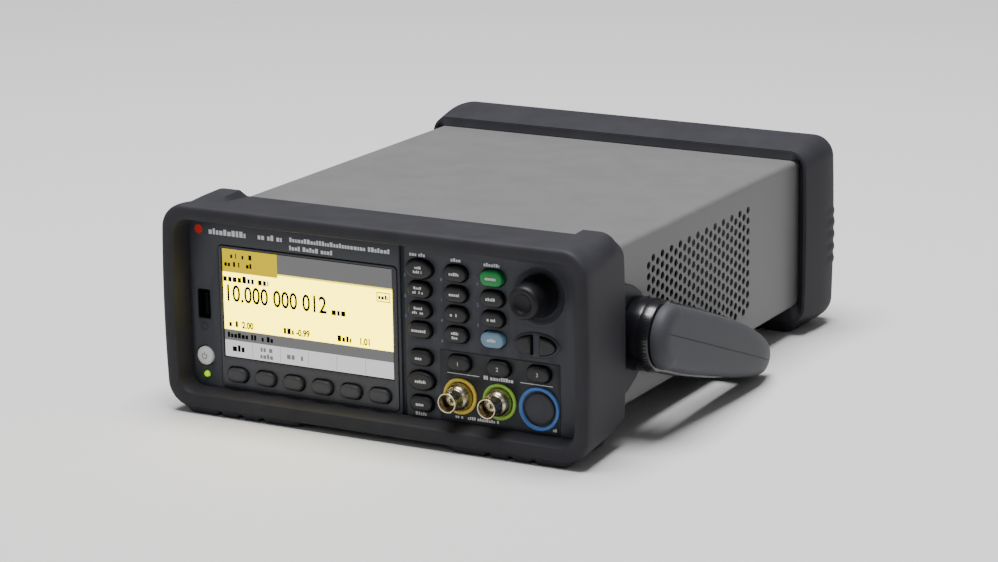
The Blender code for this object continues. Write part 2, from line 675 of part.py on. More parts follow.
inlet_x, inlet_z = INLET_CENTRE
rear_holes = [circle(c, 2.7, 8) for c in slotted_circle(FAN_CENTRE, 7.4, 4, 25.0)]
rear_holes += [circle((x, REAR_INPUT_Z), 5.2, 12) for x in REAR_INPUT_X]
rear_holes += [
    rounded_rectangle((inlet_x - 14.3, inlet_z - 10.3), (inlet_x + 14.3, inlet_z + 10.3), 2.0, 2),
    rounded_rectangle((LAN_CENTRE[0] - 8.4, LAN_CENTRE[1] - 7.0),
                      (LAN_CENTRE[0] + 8.4, LAN_CENTRE[1] + 7.0), 0.4, 1),
    rounded_rectangle((USB_B_CENTRE[0] - 6.4, USB_B_CENTRE[1] - 6.0),
                      (USB_B_CENTRE[0] + 6.4, USB_B_CENTRE[1] + 6.0), 0.4, 1),
]
rear_span = (REAR_PANEL_FRONT, REAR_PANEL_FRONT + REAR_PANEL_THICKNESS)
extrusion("rear_panel",
          [rounded_rectangle((-104.8, 1.5), (104.8, 77.9), 2.0, 2)] + rear_holes, rear_span, "steel")
REAR_FACE = rear_span[1] + GAP


def socket(name, corners, cavities, kind):
    """A connector body with rectangular cavities that open to the back."""
    body = boxes(name, [corners], kind)
    cut_boxes(body, cavities)
    return body


inlet = extrusion(
    "ac_inlet",
    [rounded_rectangle((inlet_x - 14.0, inlet_z - 10.0), (inlet_x + 14.0, inlet_z + 10.0), 2.0, 2)],
    (REAR_PANEL_FRONT - 16.0, REAR_FACE + 0.1), "black")
inlet_flange = extrusion(
    "inlet_flange",
    [rounded_rectangle((inlet_x - 24.0, inlet_z - 11.5), (inlet_x + 24.0, inlet_z + 11.5), 3.0, 2)],
    (REAR_FACE, REAR_FACE + 3.0), None)
inlet_cavity = boxes("inlet_cavity", [((inlet_x - 12.0, REAR_FACE - 14.0, inlet_z - 8.2),
                                       (inlet_x + 12.0, REAR_FACE + 6.0, inlet_z + 8.2))], None)
inlet_pins = boxes("inlet_pins", [
    ((inlet_x + dx - 1.0, REAR_FACE - 15.0, inlet_z + dz - 2.0),
     (inlet_x + dx + 1.0, REAR_FACE - 1.0, inlet_z + dz + 2.0))
    for dx, dz in ((-7.0, -3.0), (0.0, 2.2), (7.0, -3.0))], None)
boolean(inlet, inlet_flange, "UNION")
boolean(inlet, inlet_cavity, "DIFFERENCE")
boolean(inlet, inlet_pins, "UNION")

lan_x, lan_z = LAN_CENTRE
socket("lan_socket", ((lan_x - 8.0, 233.0, lan_z - 6.7), (lan_x + 8.0, REAR_FACE + 0.8, lan_z + 6.7)),
       [((lan_x - 5.9, 235.5, lan_z - 4.6), (lan_x + 5.9, 262.0, lan_z + 3.4))], "steel")
b_x, b_z = USB_B_CENTRE
socket("usb_b_socket", ((b_x - 6.0, 234.0, b_z - 5.6), (b_x + 6.0, REAR_FACE + 0.8, b_z + 5.6)),
       [((b_x - 4.3, 237.0, b_z - 4.0), (b_x + 4.3, 262.0, b_z - 1.7)),
        ((b_x - 4.3, 237.0, b_z + 1.7), (b_x + 4.3, 262.0, b_z + 4.0)),
        ((b_x - 4.3, REAR_FACE - 1.0, b_z - 2.0), (b_x + 4.3, 262.0, b_z + 2.0))], "steel")


def rear_jack(index, x):
    """A bayonet jack that opens to the back; heights along its axis run towards the front."""
    return turned(f"rear_jack_{index}", [
        (0.0, 10.0), (4.8, 10.0), (4.8, 0.0), (6.6, 0.0), (6.6, -2.4), (4.85, -2.8),
        (4.85, -10.0), (4.05, -10.0), (4.05, -3.4), (2.3, -3.4), (2.3, -5.2), (0.8, -5.2),
        (0.8, -7.0), (0.0, -7.0)], (x, REAR_FACE, REAR_INPUT_Z), None, 14)


rear_inputs = boxes("rear_inputs", [((REAR_INPUT_X[0] - 7.0, REAR_FACE - 11.0, REAR_INPUT_Z - 7.0),
                                     (REAR_INPUT_X[-1] + 7.0, REAR_FACE - 7.0, REAR_INPUT_Z + 7.0))],
                    "nickel")
for index, x in enumerate(REAR_INPUT_X):
    boolean(rear_inputs, rear_jack(index, x), "UNION")

fan_x, fan_z = FAN_CENTRE
half_fan = FAN_SIZE / 2
extrusion("fan_frame",
          [rounded_rectangle((fan_x - half_fan, fan_z - half_fan),
                             (fan_x + half_fan, fan_z + half_fan), 4.0, 2),
           circle(FAN_CENTRE, 28.2, 24)], (REAR_PANEL_FRONT - 15.3, REAR_PANEL_FRONT - GAP), "black")


def fan_blades(bm):
    """Seven flat blades, each pitched about its own radius."""
    for blade in range(7):
        made = bmesh.ops.create_cube(bm, size=1.0)["verts"]
        bmesh.ops.scale(bm, vec=(20.0 * MM, 1.2 * MM, 12.0 * MM), verts=made)
        bmesh.ops.rotate(bm, verts=made, cent=(0, 0, 0),
                         matrix=Matrix.Rotation(math.radians(58), 3, "X"))
        bmesh.ops.translate(bm, vec=(17.5 * MM, 0, 0), verts=made)
        bmesh.ops.rotate(bm, verts=made, cent=(0, 0, 0),
                         matrix=Matrix.Rotation(2 * math.pi * blade / 7, 3, "Y"))


fan_rotor = turned("fan_rotor", [(0.0, 6.0), (11.0, 6.0), (11.0, -6.0), (0.0, -6.0)],
                   (fan_x, REAR_PANEL_FRONT - 8.0, fan_z), "black", 20)
blades = place("fan_blades", mesh_of("fan_blades", fan_blades),
               (fan_x, REAR_PANEL_FRONT - 8.0, fan_z), None)
boolean(fan_rotor, blades, "UNION")


# ---------------------------------------------------------------- insides

extrusion(
    "chassis_tray",
    [[(-104.4, 1.4), (104.4, 1.4), (104.4, 14.0), (103.2, 14.0), (103.2, 2.6),
      (-103.2, 2.6), (-103.2, 14.0), (-104.4, 14.0)]],
    (15.0, 246.5), "steel")
board = boxes("main_board", [((-98.0, 18.0, 7.0), (58.0, 229.0, 8.6))], "board")
boolean(board, boxes("board_parts", [
    ((-92.0, 40.0, 8.0), (-40.0, 96.0, 22.0)),
    ((-30.0, 24.0, 8.0), (20.0, 70.0, 20.0)),
    ((-20.0, 96.0, 8.0), (14.0, 130.0, 12.0)),
    ((-84.0, 130.0, 8.0), (-48.0, 166.0, 26.0)),
    ((24.0, 110.0, 8.0), (40.0, 126.0, 12.0)),
], None), "UNION")
supply = boxes("power_supply", [((62.0, 120.0, 4.0), (101.0, 228.0, 66.0))], "steel")
bevel(supply, 1.2)
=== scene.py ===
"""Looks of the bench frequency counter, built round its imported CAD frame.

Lengths are millimetres in the counter's own frame: X to the right, Y to the back, Z up, with Y zero
on the front panel's face and Z zero on the underside of the metal sleeve. world() turns them into
the frame's metres. Sizes and places of parts come from the frame's own boxes.
"""
import json
import math
import random

import bmesh
import bpy
from mathutils import Matrix, Vector

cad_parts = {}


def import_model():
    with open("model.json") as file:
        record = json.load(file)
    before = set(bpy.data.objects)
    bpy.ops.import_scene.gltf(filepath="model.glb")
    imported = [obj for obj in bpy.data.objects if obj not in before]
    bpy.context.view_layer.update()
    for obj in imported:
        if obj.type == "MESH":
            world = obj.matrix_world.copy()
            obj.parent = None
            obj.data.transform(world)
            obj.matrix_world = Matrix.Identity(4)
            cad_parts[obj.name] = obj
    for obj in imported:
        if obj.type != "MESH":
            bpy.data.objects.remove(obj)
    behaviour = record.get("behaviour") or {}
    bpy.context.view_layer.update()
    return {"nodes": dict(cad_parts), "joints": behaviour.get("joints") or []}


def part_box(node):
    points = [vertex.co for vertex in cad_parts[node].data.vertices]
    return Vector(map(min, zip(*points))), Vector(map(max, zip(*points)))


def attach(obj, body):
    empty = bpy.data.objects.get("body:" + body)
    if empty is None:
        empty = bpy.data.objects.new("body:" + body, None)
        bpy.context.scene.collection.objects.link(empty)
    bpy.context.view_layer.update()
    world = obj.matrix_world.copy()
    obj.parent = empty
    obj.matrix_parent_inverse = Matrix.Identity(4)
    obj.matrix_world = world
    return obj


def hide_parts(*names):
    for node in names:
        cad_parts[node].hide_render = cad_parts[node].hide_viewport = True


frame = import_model()
NODES = frame["nodes"]

MM = 0.001
WELD = 0.0005
ON_AXIS = 0.002
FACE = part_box("front_panel")[0].y
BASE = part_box("case_sleeve")[0].z
SHIFT = Vector((0.0, FACE, BASE))
rng = random.Random(7)


# ---------------------------------------------------------------- measures

def world(x, y, z):
    return Vector((x, y, z)) * MM + SHIFT


def box_of(node):
    """Low and high corner of a CAD node, in the counter's own frame."""
    low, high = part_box(node)
    return (low - SHIFT) / MM, (high - SHIFT) / MM


def centre_of(node):
    low, high = box_of(node)
    return (low + high) / 2


def smooth_step(value, start, end):
    t = min(1.0, max(0.0, (value - start) / (end - start)))
    return t * t * (3 - 2 * t)


def curve_between(four, steps):
    """Steps along a Catmull-Rom curve from the second of four points towards the third."""
    result = []
    for step in range(steps):
        t = step / steps
        result.append(tuple(0.5 * (2 * b + (c - a) * t + (2 * a - 5 * b + 4 * c - d) * t * t
                                   + (3 * b - a - 3 * c + d) * t ** 3) for a, b, c, d in zip(*four)))
    return result


def window(value, low, high, edge):
    """1 between low and high, falling smoothly to 0 over edge on either side."""
    return smooth_step(value, low - edge, low) * (1 - smooth_step(value, high, high + edge))


# ---------------------------------------------------------------- materials

# name: colour, roughness, grain (features per metre, depth in mm), mottle (share), and what else it has:
# specular, metallic, coat, stretch (grain drawn out along X), glow (colour and strength)
FINISHES = {
    "bumper": ((0.024, 0.0238, 0.0288), 0.6, (2600, 0.014), 0.14, {"specular": 0.2}),
    "sleeve": ((0.128, 0.128, 0.13), 0.46, (1500, 0.01), 0.05, {"specular": 0.35}),
    "panel": ((0.033, 0.036, 0.045), 0.5, (3200, 0.008), 0.08, {"specular": 0.3}),
    "plate": ((0.013, 0.015, 0.019), 0.42, (4000, 0.004), 0.06, {"specular": 0.3}),
    "screen_frame": ((0.038, 0.04, 0.048), 0.4, (3600, 0.004), 0.05, {"specular": 0.4}),
    "key": ((0.009, 0.009, 0.011), 0.46, (3600, 0.005), 0.08, {"specular": 0.4}),
    "soft_key": ((0.038, 0.039, 0.045), 0.44, (3600, 0.005), 0.08, {"specular": 0.4}),
    "green_key": ((0.012, 0.235, 0.055), 0.42, (3600, 0.005), 0.08, {"specular": 0.3}),
    "blue_key": ((0.15, 0.25, 0.35), 0.42, (3600, 0.005), 0.06, {"specular": 0.3}),
    "power_key": ((0.62, 0.62, 0.61), 0.36, (3600, 0.004), 0.04, {"coat": 0.2}),
    "led": ((0.2, 0.5, 0.03), 0.2, None, 0.05, {"glow": ((0.45, 0.95, 0.0), 0.8)}),
    "yellow_ring": ((0.68, 0.5, 0.06), 0.34, (3000, 0.004), 0.05, {"specular": 0.4}),
    "green_ring": ((0.27, 0.5, 0.06), 0.34, (3000, 0.004), 0.05, {"specular": 0.4}),
    "blue_ring": ((0.045, 0.145, 0.42), 0.34, (3000, 0.004), 0.05, {"specular": 0.4}),
    "nickel": ((0.56, 0.49, 0.35), 0.27, (5000, 0.003), 0.1, {"metallic": 1.0}),
    "gold": ((0.26, 0.14, 0.07), 0.42, (5000, 0.002), 0.08, {"metallic": 1.0}),
    "insulator": ((0.7, 0.54, 0.45), 0.45, (3000, 0.003), 0.04, {}),
    "steel": ((0.5, 0.51, 0.52), 0.34, (2600, 0.004), 0.1, {"metallic": 1.0, "stretch": 0.02}),
    "dark_steel": ((0.1, 0.1, 0.105), 0.45, (2600, 0.004), 0.1, {"metallic": 1.0}),
    "rear_paint": ((0.16, 0.16, 0.163), 0.45, (1500, 0.008), 0.06, {"specular": 0.35}),
    "screw": ((0.16, 0.16, 0.17), 0.3, (4000, 0.003), 0.1, {"metallic": 1.0}),
    "knob": ((0.006, 0.006, 0.0085), 0.5, (3200, 0.006), 0.08, {"specular": 0.28}),
    "gloss_black": ((0.005, 0.005, 0.007), 0.24, (260, 0.003), 0.1, {"coat": 0.1}),
    "grip": ((0.046, 0.047, 0.054), 0.56, (2800, 0.01), 0.08, {"specular": 0.22}),
    "mount": ((0.016, 0.016, 0.02), 0.5, (2800, 0.008), 0.1, {"specular": 0.25}),
    "black": ((0.014, 0.014, 0.015), 0.42, (2600, 0.006), 0.12, {"specular": 0.4}),
    # shadow: painted shade, a flat near-black put in hollows and insides where shade falls
    "shadow": ((0.003, 0.003, 0.004), 0.9, None, 0.1, {"specular": 0.1}),
    "board": ((0.01, 0.095, 0.035), 0.38, (500, 0.02), 0.3, {"coat": 0.3}),
    "glass": ((0.01, 0.01, 0.012), 0.12, None, 0.02, {"specular": 0.4}),
    "print": ((0.62, 0.63, 0.64), 0.6, None, 0.05, {}),
    "print_blue": ((0.16, 0.24, 0.38), 0.6, None, 0.05, {}),
    "print_red": ((0.52, 0.012, 0.01), 0.5, None, 0.05, {"specular": 0.2}),
    "print_dark": ((0.05, 0.05, 0.05), 0.6, None, 0.05, {}),
}
# The picture's colours: name, own colour, glow and its strength
for name, own, glow, strength in (
        ("cream", (0.02, 0.02, 0.02), (1.0, 0.82, 0.02), 7.2),
        ("yellow", (0.02, 0.02, 0.01), (1.0, 0.74, 0.0), 0.92),
        ("pale", (0.02, 0.02, 0.01), (1.0, 0.86, 0.02), 2.4),
        ("grey", (0.02, 0.02, 0.02), (0.19, 0.19, 0.19), 1.0),
        ("light", (0.02, 0.02, 0.02), (0.92, 0.92, 0.92), 1.0),
        ("line", (0.02, 0.02, 0.02), (0.52, 0.52, 0.52), 1.0),
        ("fade", (0.02, 0.02, 0.02), (0.22, 0.22, 0.22), 1.0)):
    FINISHES["picture_" + name] = (own, 0.4, None, 0.02, {"specular": 0.0, "glow": (glow, strength)})
FINISHES["picture_ink"] = ((0.004, 0.004, 0.004), 0.4, None, 0.02, {"specular": 0.0})
made_finishes = {}


def finish(kind):
    """The procedural material of a finish, made once."""
    if kind in made_finishes:
        return made_finishes[kind]
    colour, roughness, grain, mottle, extra = FINISHES[kind]
    material = bpy.data.materials.new(kind)
    material.use_nodes = True
    tree = material.node_tree
    shader = tree.nodes["Principled BSDF"]

    def node(kind_of_node, **inputs):
        new = tree.nodes.new(kind_of_node)
        for label, value in inputs.items():
            new.inputs[label.replace("_", " ")].default_value = value
        return new

    place = tree.nodes.new("ShaderNodeTexCoord").outputs["Object"]
    if "stretch" in extra:
        drawn = node("ShaderNodeMapping", Scale=(extra["stretch"], 1.0, 1.0))
        tree.links.new(place, drawn.inputs["Vector"])
        place = drawn.outputs["Vector"]

    # Colour: soft mottling
    clouds = node("ShaderNodeTexNoise", Scale=55.0, Detail=5.0, Roughness=0.6)
    tree.links.new(place, clouds.inputs["Vector"])
    ramp = tree.nodes.new("ShaderNodeValToRGB")
    for stop, position, share in zip(ramp.color_ramp.elements, (0.30, 0.70), (1 - mottle, 1 + mottle)):
        stop.position = position
        stop.color = (*[min(1.0, c * share) for c in colour], 1.0)
    tree.links.new(clouds.outputs["Fac"], ramp.inputs["Fac"])
    tree.links.new(ramp.outputs["Color"], shader.inputs["Base Color"])

    # Roughness wanders a little with the same clouds
    spread = tree.nodes.new("ShaderNodeMapRange")
    spread.inputs["To Min"].default_value = max(0.03, roughness - 0.06)
    spread.inputs["To Max"].default_value = min(1.0, roughness + 0.06)
    tree.links.new(clouds.outputs["Fac"], spread.inputs["Value"])
    tree.links.new(spread.outputs["Result"], shader.inputs["Roughness"])

    if grain:
        scale, depth = grain
        grains = node("ShaderNodeTexNoise", Scale=float(scale), Detail=3.0, Roughness=0.55)
        tree.links.new(place, grains.inputs["Vector"])
        bump = node("ShaderNodeBump", Strength=0.6, Distance=depth * MM)
        tree.links.new(grains.outputs["Fac"], bump.inputs["Height"])
        tree.links.new(bump.outputs["Normal"], shader.inputs["Normal"])
    shader.inputs["Metallic"].default_value = extra.get("metallic", 0.0)
    shader.inputs["Coat Weight"].default_value = extra.get("coat", 0.0)
    shader.inputs["Coat Roughness"].default_value = 0.12
    shader.inputs["Specular IOR Level"].default_value = extra.get("specular", 0.5)
    if "glow" in extra:
        glow, strength = extra["glow"]
        shader.inputs["Emission Color"].default_value = (*glow, 1.0)
        shader.inputs["Emission Strength"].default_value = strength
    made_finishes[kind] = material
    return material


# ---------------------------------------------------------------- making pieces

def add(name, mesh, kinds, body="root", slot=None, replaces=(), smooth=35):
    """Link a finished mesh as a piece that rides on a body."""
    mesh.materials.clear()
    for kind in kinds:
        mesh.materials.append(finish(kind))
    mesh.shade_smooth()
    mesh.set_sharp_from_angle(angle=math.radians(smooth))
    obj = bpy.data.objects.new(name, mesh)
    bpy.context.scene.collection.objects.link(obj)
    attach(obj, body)
    for node in replaces:
        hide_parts(node)
    return obj


def placed_mesh(name, bm):
    """Turn a filled bmesh into a mesh in the frame's metres."""
    for vertex in bm.verts:
        vertex.co = world(*vertex.co)
    mesh = bpy.data.meshes.new(name)
    bm.to_mesh(mesh)
    bm.free()
    return mesh


def mesh_from(name, build):
    """A mesh filled by build(bm) in millimetres of the counter's own frame."""
    bm = bmesh.new()
    build(bm)
    bmesh.ops.remove_doubles(bm, verts=bm.verts, dist=WELD)
    bmesh.ops.recalc_face_normals(bm, faces=bm.faces)
    return placed_mesh(name, bm)


def piece(name, build, kinds, **how):
    return add(name, mesh_from(name, build), kinds, **how)


def worked(name, build, steps):
    """A mesh after modifiers: ("cut" or "join", build) pairs and ("bevel", width, segments)."""
    obj = bpy.data.objects.new(name, mesh_from(name, build))
    bpy.context.scene.collection.objects.link(obj)
    helpers = []
    for step in steps:
        if step[0] == "bevel":
            modifier = obj.modifiers.new("bevel", "BEVEL")
            modifier.width = step[1] * MM
            modifier.segments = step[2]
            modifier.limit_method = "ANGLE"
            modifier.angle_limit = math.radians(40)
            continue
        helper = bpy.data.objects.new(name + "_helper", mesh_from(name + "_helper", step[1]))
        bpy.context.scene.collection.objects.link(helper)
        helpers.append(helper)
        modifier = obj.modifiers.new(step[0], "BOOLEAN")
        modifier.operation = "DIFFERENCE" if step[0] == "cut" else "UNION"
        modifier.solver = "EXACT"
        modifier.object = helper
    bpy.context.view_layer.update()
    mesh = bpy.data.meshes.new_from_object(obj.evaluated_get(bpy.context.evaluated_depsgraph_get()))
    mesh.name = name
    for spare in helpers + [obj]:
        bpy.data.objects.remove(spare, do_unlink=True)
    return mesh


def carved(name, build, steps, kinds, **how):
    return add(name, worked(name, build, steps), kinds, **how)


def loft(bm, rings, closed=False, kinds=None):
    """Skin through rings of points, capped unless closed on itself; kinds gives each band's material."""
    rows = [[bm.verts.new(point) for point in ring] for ring in rings]
    pairs = list(zip(rows, rows[1:]))
    if closed:
        pairs.append((rows[-1], rows[0]))
    for band, (ring, other) in enumerate(pairs):
        for i in range(len(ring)):
            j = (i + 1) % len(ring)
            face = bm.faces.new((ring[i], ring[j], other[j], other[i]))
            face.material_index = kinds[band] if kinds else 0
    for band in () if closed else (0, -1):
        bm.faces.new(rows[band]).material_index = kinds[band] if kinds else 0


FRONT, BACK, RIGHT, LEFT = (Vector(v) for v in ((0, -1, 0), (0, 1, 0), (1, 0, 0), (-1, 0, 0)))


def lathe(bm, profile, centre, axis=FRONT, steps=48, closed=False, kinds=None):
    """Turn a profile of (radius, height along the axis) about the axis."""
    side = axis.orthogonal().normalized()
    other = axis.cross(side)
    rings = []
    for radius, height in profile:
        radius = max(radius, ON_AXIS)
        turns = [2 * math.pi * i / steps for i in range(steps)]
        rings.append([Vector(centre) + axis * height
                      + radius * (side * math.cos(t) + other * math.sin(t)) for t in turns])
    loft(bm, rings, closed=closed, kinds=kinds)


def add_box(bm, low, high, kind=0):
    low, high = Vector(low), Vector(high)
    made = bmesh.ops.create_cube(bm, size=1.0)["verts"]
    bmesh.ops.scale(bm, vec=high - low, verts=made)
    bmesh.ops.translate(bm, vec=(low + high) / 2, verts=made)
    for face in {face for vertex in made for face in vertex.link_faces}:
        face.material_index = kind


# ---------------------------------------------------------------- outlines, as (x, z) points

def arc(centre, radius, start, end, steps):
    angles = [math.radians(start + (end - start) * i / steps) for i in range(steps + 1)]
    return [(centre[0] + radius * math.cos(a), centre[1] + radius * math.sin(a)) for a in angles]


def rounded(low, high, radius, steps=8):
    (x0, z0), (x1, z1) = low, high
    return (arc((x1 - radius, z1 - radius), radius, 0, 90, steps)
            + arc((x0 + radius, z1 - radius), radius, 90, 180, steps)
            + arc((x0 + radius, z0 + radius), radius, 180, 270, steps)
            + arc((x1 - radius, z0 + radius), radius, 270, 360, steps))


def around(low, high, grow, radius, steps=8):
    """The rounded outline of a box seen from the front, grown on every side."""
    return rounded((low.x - grow, low.z - grow), (high.x + grow, high.z + grow), radius, steps)


def centred(x, z, half_x, half_z, radius, steps=8):
    return rounded((x - half_x, z - half_z), (x + half_x, z + half_z), radius, steps)


def pill(centre, size, grow=0.0, steps=14):
    x, z = centre
    radius = size[1] / 2 + grow
    reach = (size[0] - size[1]) / 2
    return arc((x + reach, z), radius, -90, 90, steps) + arc((x - reach, z), radius, 90, 270, steps)


def oval(centre, size, grow=0.0, steps=44):
    a, b = size[0] / 2 + grow, size[1] / 2 + grow
    turns = [2 * math.pi * i / steps for i in range(steps)]
    return [(centre[0] + a * math.cos(t), centre[1] + b * math.sin(t)) for t in turns]


def circle(centre, radius, steps=44):
    return oval(centre, (2 * radius, 2 * radius), steps=steps)


def half_lens(centre, size, side, grow=0.0, steps=26):
    """Half a lens with its flat towards the middle; side -1 points left and 1 right."""
    length, height = size[0] + grow, size[1] / 2 + grow
    turns = [math.pi * (i / steps - 0.5) for i in range(steps + 1)]
    return [(centre[0] + side * (length * math.cos(t) ** 1.1 - grow), centre[1] + height * math.sin(t))
            for t in turns]


def at_depth(outline, y):
    return [Vector((x, y, z)) for x, z in outline]


def plate(bm, outline, front, back):
    loft(bm, [at_depth(outline, back), at_depth(outline, front)])


# ---------------------------------------------------------------- prints

def words(bm, x, z, y, width, height):
    """A line of plain blocks that stands for a printed legend, x at its middle."""
    at = x - width / 2
    while at < x + width / 2 - 0.3:
        if rng.random() < 0.14:
            at += height * 0.5
            continue
        block = min(height * rng.uniform(0.42, 0.72), x + width / 2 - at)
        tall = height * (1.0 if rng.random() < 0.35 else 0.74)
        add_box(bm, (at, y - 0.03, z - height / 2), (at + block, y + 0.03, z - height / 2 + tall))
        at += block + height * 0.20


FIGURE_DEPTH = 0.04
CAPITAL_SHARE = 0.70


def figures_mesh(name, lines, y, bold=0.0):
    """Numerals from Blender's own font: lines of (text, x, z, height, narrowing, alignment)."""
    bm = bmesh.new()
    for text, x, z, height, narrow, align in lines:
        curve = bpy.data.curves.new(name, "FONT")
        curve.body = text
        curve.size = height / CAPITAL_SHARE
        curve.align_x = align
        curve.extrude = FIGURE_DEPTH / 2
        curve.offset = bold
        curve.resolution_u = 4
        holder = bpy.data.objects.new(name, curve)
        bpy.context.scene.collection.objects.link(holder)
        bpy.context.view_layer.update()
        graph = bpy.context.evaluated_depsgraph_get()
        flat = bpy.data.meshes.new_from_object(holder.evaluated_get(graph))
        upright = Matrix.Rotation(math.pi / 2, 4, "X") @ Matrix.Diagonal((narrow, 1, 1, 1))
        flat.transform(Matrix.Translation((x, y, z - height / 2)) @ upright)
        bm.from_mesh(flat)
        bpy.data.objects.remove(holder, do_unlink=True)
        bpy.data.curves.remove(curve)
        bpy.data.meshes.remove(flat)
    bmesh.ops.remove_doubles(bm, verts=bm.verts, dist=WELD)
    return placed_mesh(name, bm)


# ---------------------------------------------------------------- sleeve

SLEEVE_LOW, SLEEVE_HIGH = box_of("case_sleeve")
SLEEVE_HALF = SLEEVE_HIGH.x
SLEEVE_TOP = SLEEVE_HIGH.z
SLEEVE_GAUGE = 1.0
SLEEVE_CORNER = 3.0

# Round vent holes in staggered columns on both sides
VENT_FIRST_Y = 70.0
VENT_TOP_Z = 65.6
VENT_COLUMN_PITCH = 4.95
VENT_ROW_PITCH = 5.5
VENT_COLUMNS = 24
VENT_ROWS = 10
VENT_RADIUS = 1.95


def sleeve_shell(bm):
    outer = rounded((-SLEEVE_HALF, 0), (SLEEVE_HALF, SLEEVE_TOP), SLEEVE_CORNER)
    half, top = SLEEVE_HALF - SLEEVE_GAUGE, SLEEVE_TOP - SLEEVE_GAUGE
    inner = rounded((-half, SLEEVE_GAUGE), (half, top), SLEEVE_CORNER - SLEEVE_GAUGE)
    low, high = SLEEVE_LOW.y, SLEEVE_HIGH.y
    # The inner face takes the shadow finish: painted shade, so the vent holes look dark right through.
    loft(bm, [at_depth(outer, low), at_depth(outer, high), at_depth(inner, high),
              at_depth(inner, low)], closed=True, kinds=[0, 0, 1, 0])


def vents(bm):
    for column in range(VENT_COLUMNS):
        y = VENT_FIRST_Y + column * VENT_COLUMN_PITCH
        drop = VENT_ROW_PITCH / 2 if column % 2 == 0 else 0.0
        for row in range(VENT_ROWS):
            z = VENT_TOP_Z - drop - row * VENT_ROW_PITCH
            lathe(bm, [(VENT_RADIUS, -SLEEVE_HALF - 2), (VENT_RADIUS, SLEEVE_HALF + 2)],
                  (0, y, z), RIGHT, 16)


carved("sleeve_shell", sleeve_shell, [("cut", vents)], ["sleeve", "shadow"], slot="sleeve_paint",
       replaces=["case_sleeve"], smooth=30)


# ---------------------------------------------------------------- bumpers

FOOT_BOTTOM = box_of("front_bumper")[0].z
FLUTES = (62.0, 74.0, 86.0)
FLUTE_RADIUS = 1.9
FOOT_INNER = 45.0
FOOT_OUTER = 101.0

# Places along the bottom edge: fine where the feet are fluted
BOTTOM_STOPS = ([4.0 * i for i in range(11)] + [44.0 + 0.5 * i for i in range(109)])
BOTTOM_STOPS = [-x for x in reversed(BOTTOM_STOPS[1:])] + BOTTOM_STOPS
TOP_STOPS = [2.0 * i - 98.0 for i in range(99)]


def spline(sections, steps):
    """Smooth sections through the given ones."""
    last = len(sections) - 1
    result = []
    for i in range(last):
        result += curve_between([sections[min(last, max(0, i + k))] for k in (-1, 0, 1, 2)], steps)
    return result + [sections[last]]


def boot_ring(section, shape=None):
    """Points round a bumper section (y, half width, low, high, corner radius, bow of the sides)."""
    y, half, low, high, radius, bow = section
    middle, reach = (low + high) / 2, (high - low) / 2
    side_low, side_high = low + radius, high - radius
    sides = [side_low + (side_high - side_low) * i / 56 for i in range(1, 56)]
    loop = [(x, low) for x in BOTTOM_STOPS]
    loop += arc((half - radius, low + radius), radius, -90, 0, 12)
    loop += [(half, z) for z in sides]
    loop += arc((half - radius, high - radius), radius, 0, 90, 12)
    loop += [(x, high) for x in reversed(TOP_STOPS)]
    loop += arc((radius - half, high - radius), radius, 90, 180, 12)
    loop += [(-half, z) for z in reversed(sides)]
    loop += arc((radius - half, low + radius), radius, 180, 270, 12)
    ring = []
    for x, z in loop:
        swell = bow * (1 - ((z - middle) / reach) ** 2)
        point = Vector((x + math.copysign(swell, x), y, z))
        ring.append(shape(point) if shape else point)
    return ring


def foot_drop(point, y_low, y_high):
    """Pull the underside down to a fluted foot."""
    if point.z > -7.0:
        return point
    flute = 0.0
    for middle in FLUTES:
        flute += math.sqrt(max(0.0, FLUTE_RADIUS ** 2 - (abs(point.x) - middle) ** 2))
    reach = window(abs(point.x), FOOT_INNER, FOOT_OUTER, 6.0) * window(point.y, y_low, y_high, 1.5)
    target = min(point.z, FOOT_BOTTOM + flute)
    return Vector((point.x, point.y, point.z + (target - point.z) * reach))


def shoulder(point):
    """Keep the top corners at the front's full height as far back as the shoulders reach."""
    slope = smooth_step(point.y, -2.0, 14.0) * (1 - smooth_step(point.y, 29.4, 31.0))
    reach = smooth_step(abs(point.x), 92.6, 94.0) * smooth_step(point.z, 58.0, 80.0) * slope
    return Vector((point.x, point.y, point.z + 0.125 * (point.y + 2.0) * reach))


def front_shape(point):
    return shoulder(foot_drop(point, -8.4, 28.4))


def rear_shape(point):
    """A foot, and four soft ripples down each side near the back."""
    point = foot_drop(point, 248.0, 274.6)
    if abs(point.x) > 106 and point.y > 262:
        reach = window(point.z, 20.0, 46.0, 3.0) * smooth_step(point.y, 266.0, 272.0)
        wave = 0.5 - 0.5 * math.cos(2 * math.pi * (point.z - 17.0) / 6.7)
        point.x += math.copysign(0.75 * wave * reach, point.x)
    return point


POCKET = (SLEEVE_HALF + 0.35, -0.35, SLEEVE_TOP + 0.35, SLEEVE_CORNER + 0.35, 0.0)
PANEL_LOW, PANEL_HIGH = box_of("front_panel")
PANEL_POCKET = (PANEL_HIGH.x + 0.4, PANEL_LOW.z - 0.4, PANEL_HIGH.z + 0.4, 5.4, 0.0)

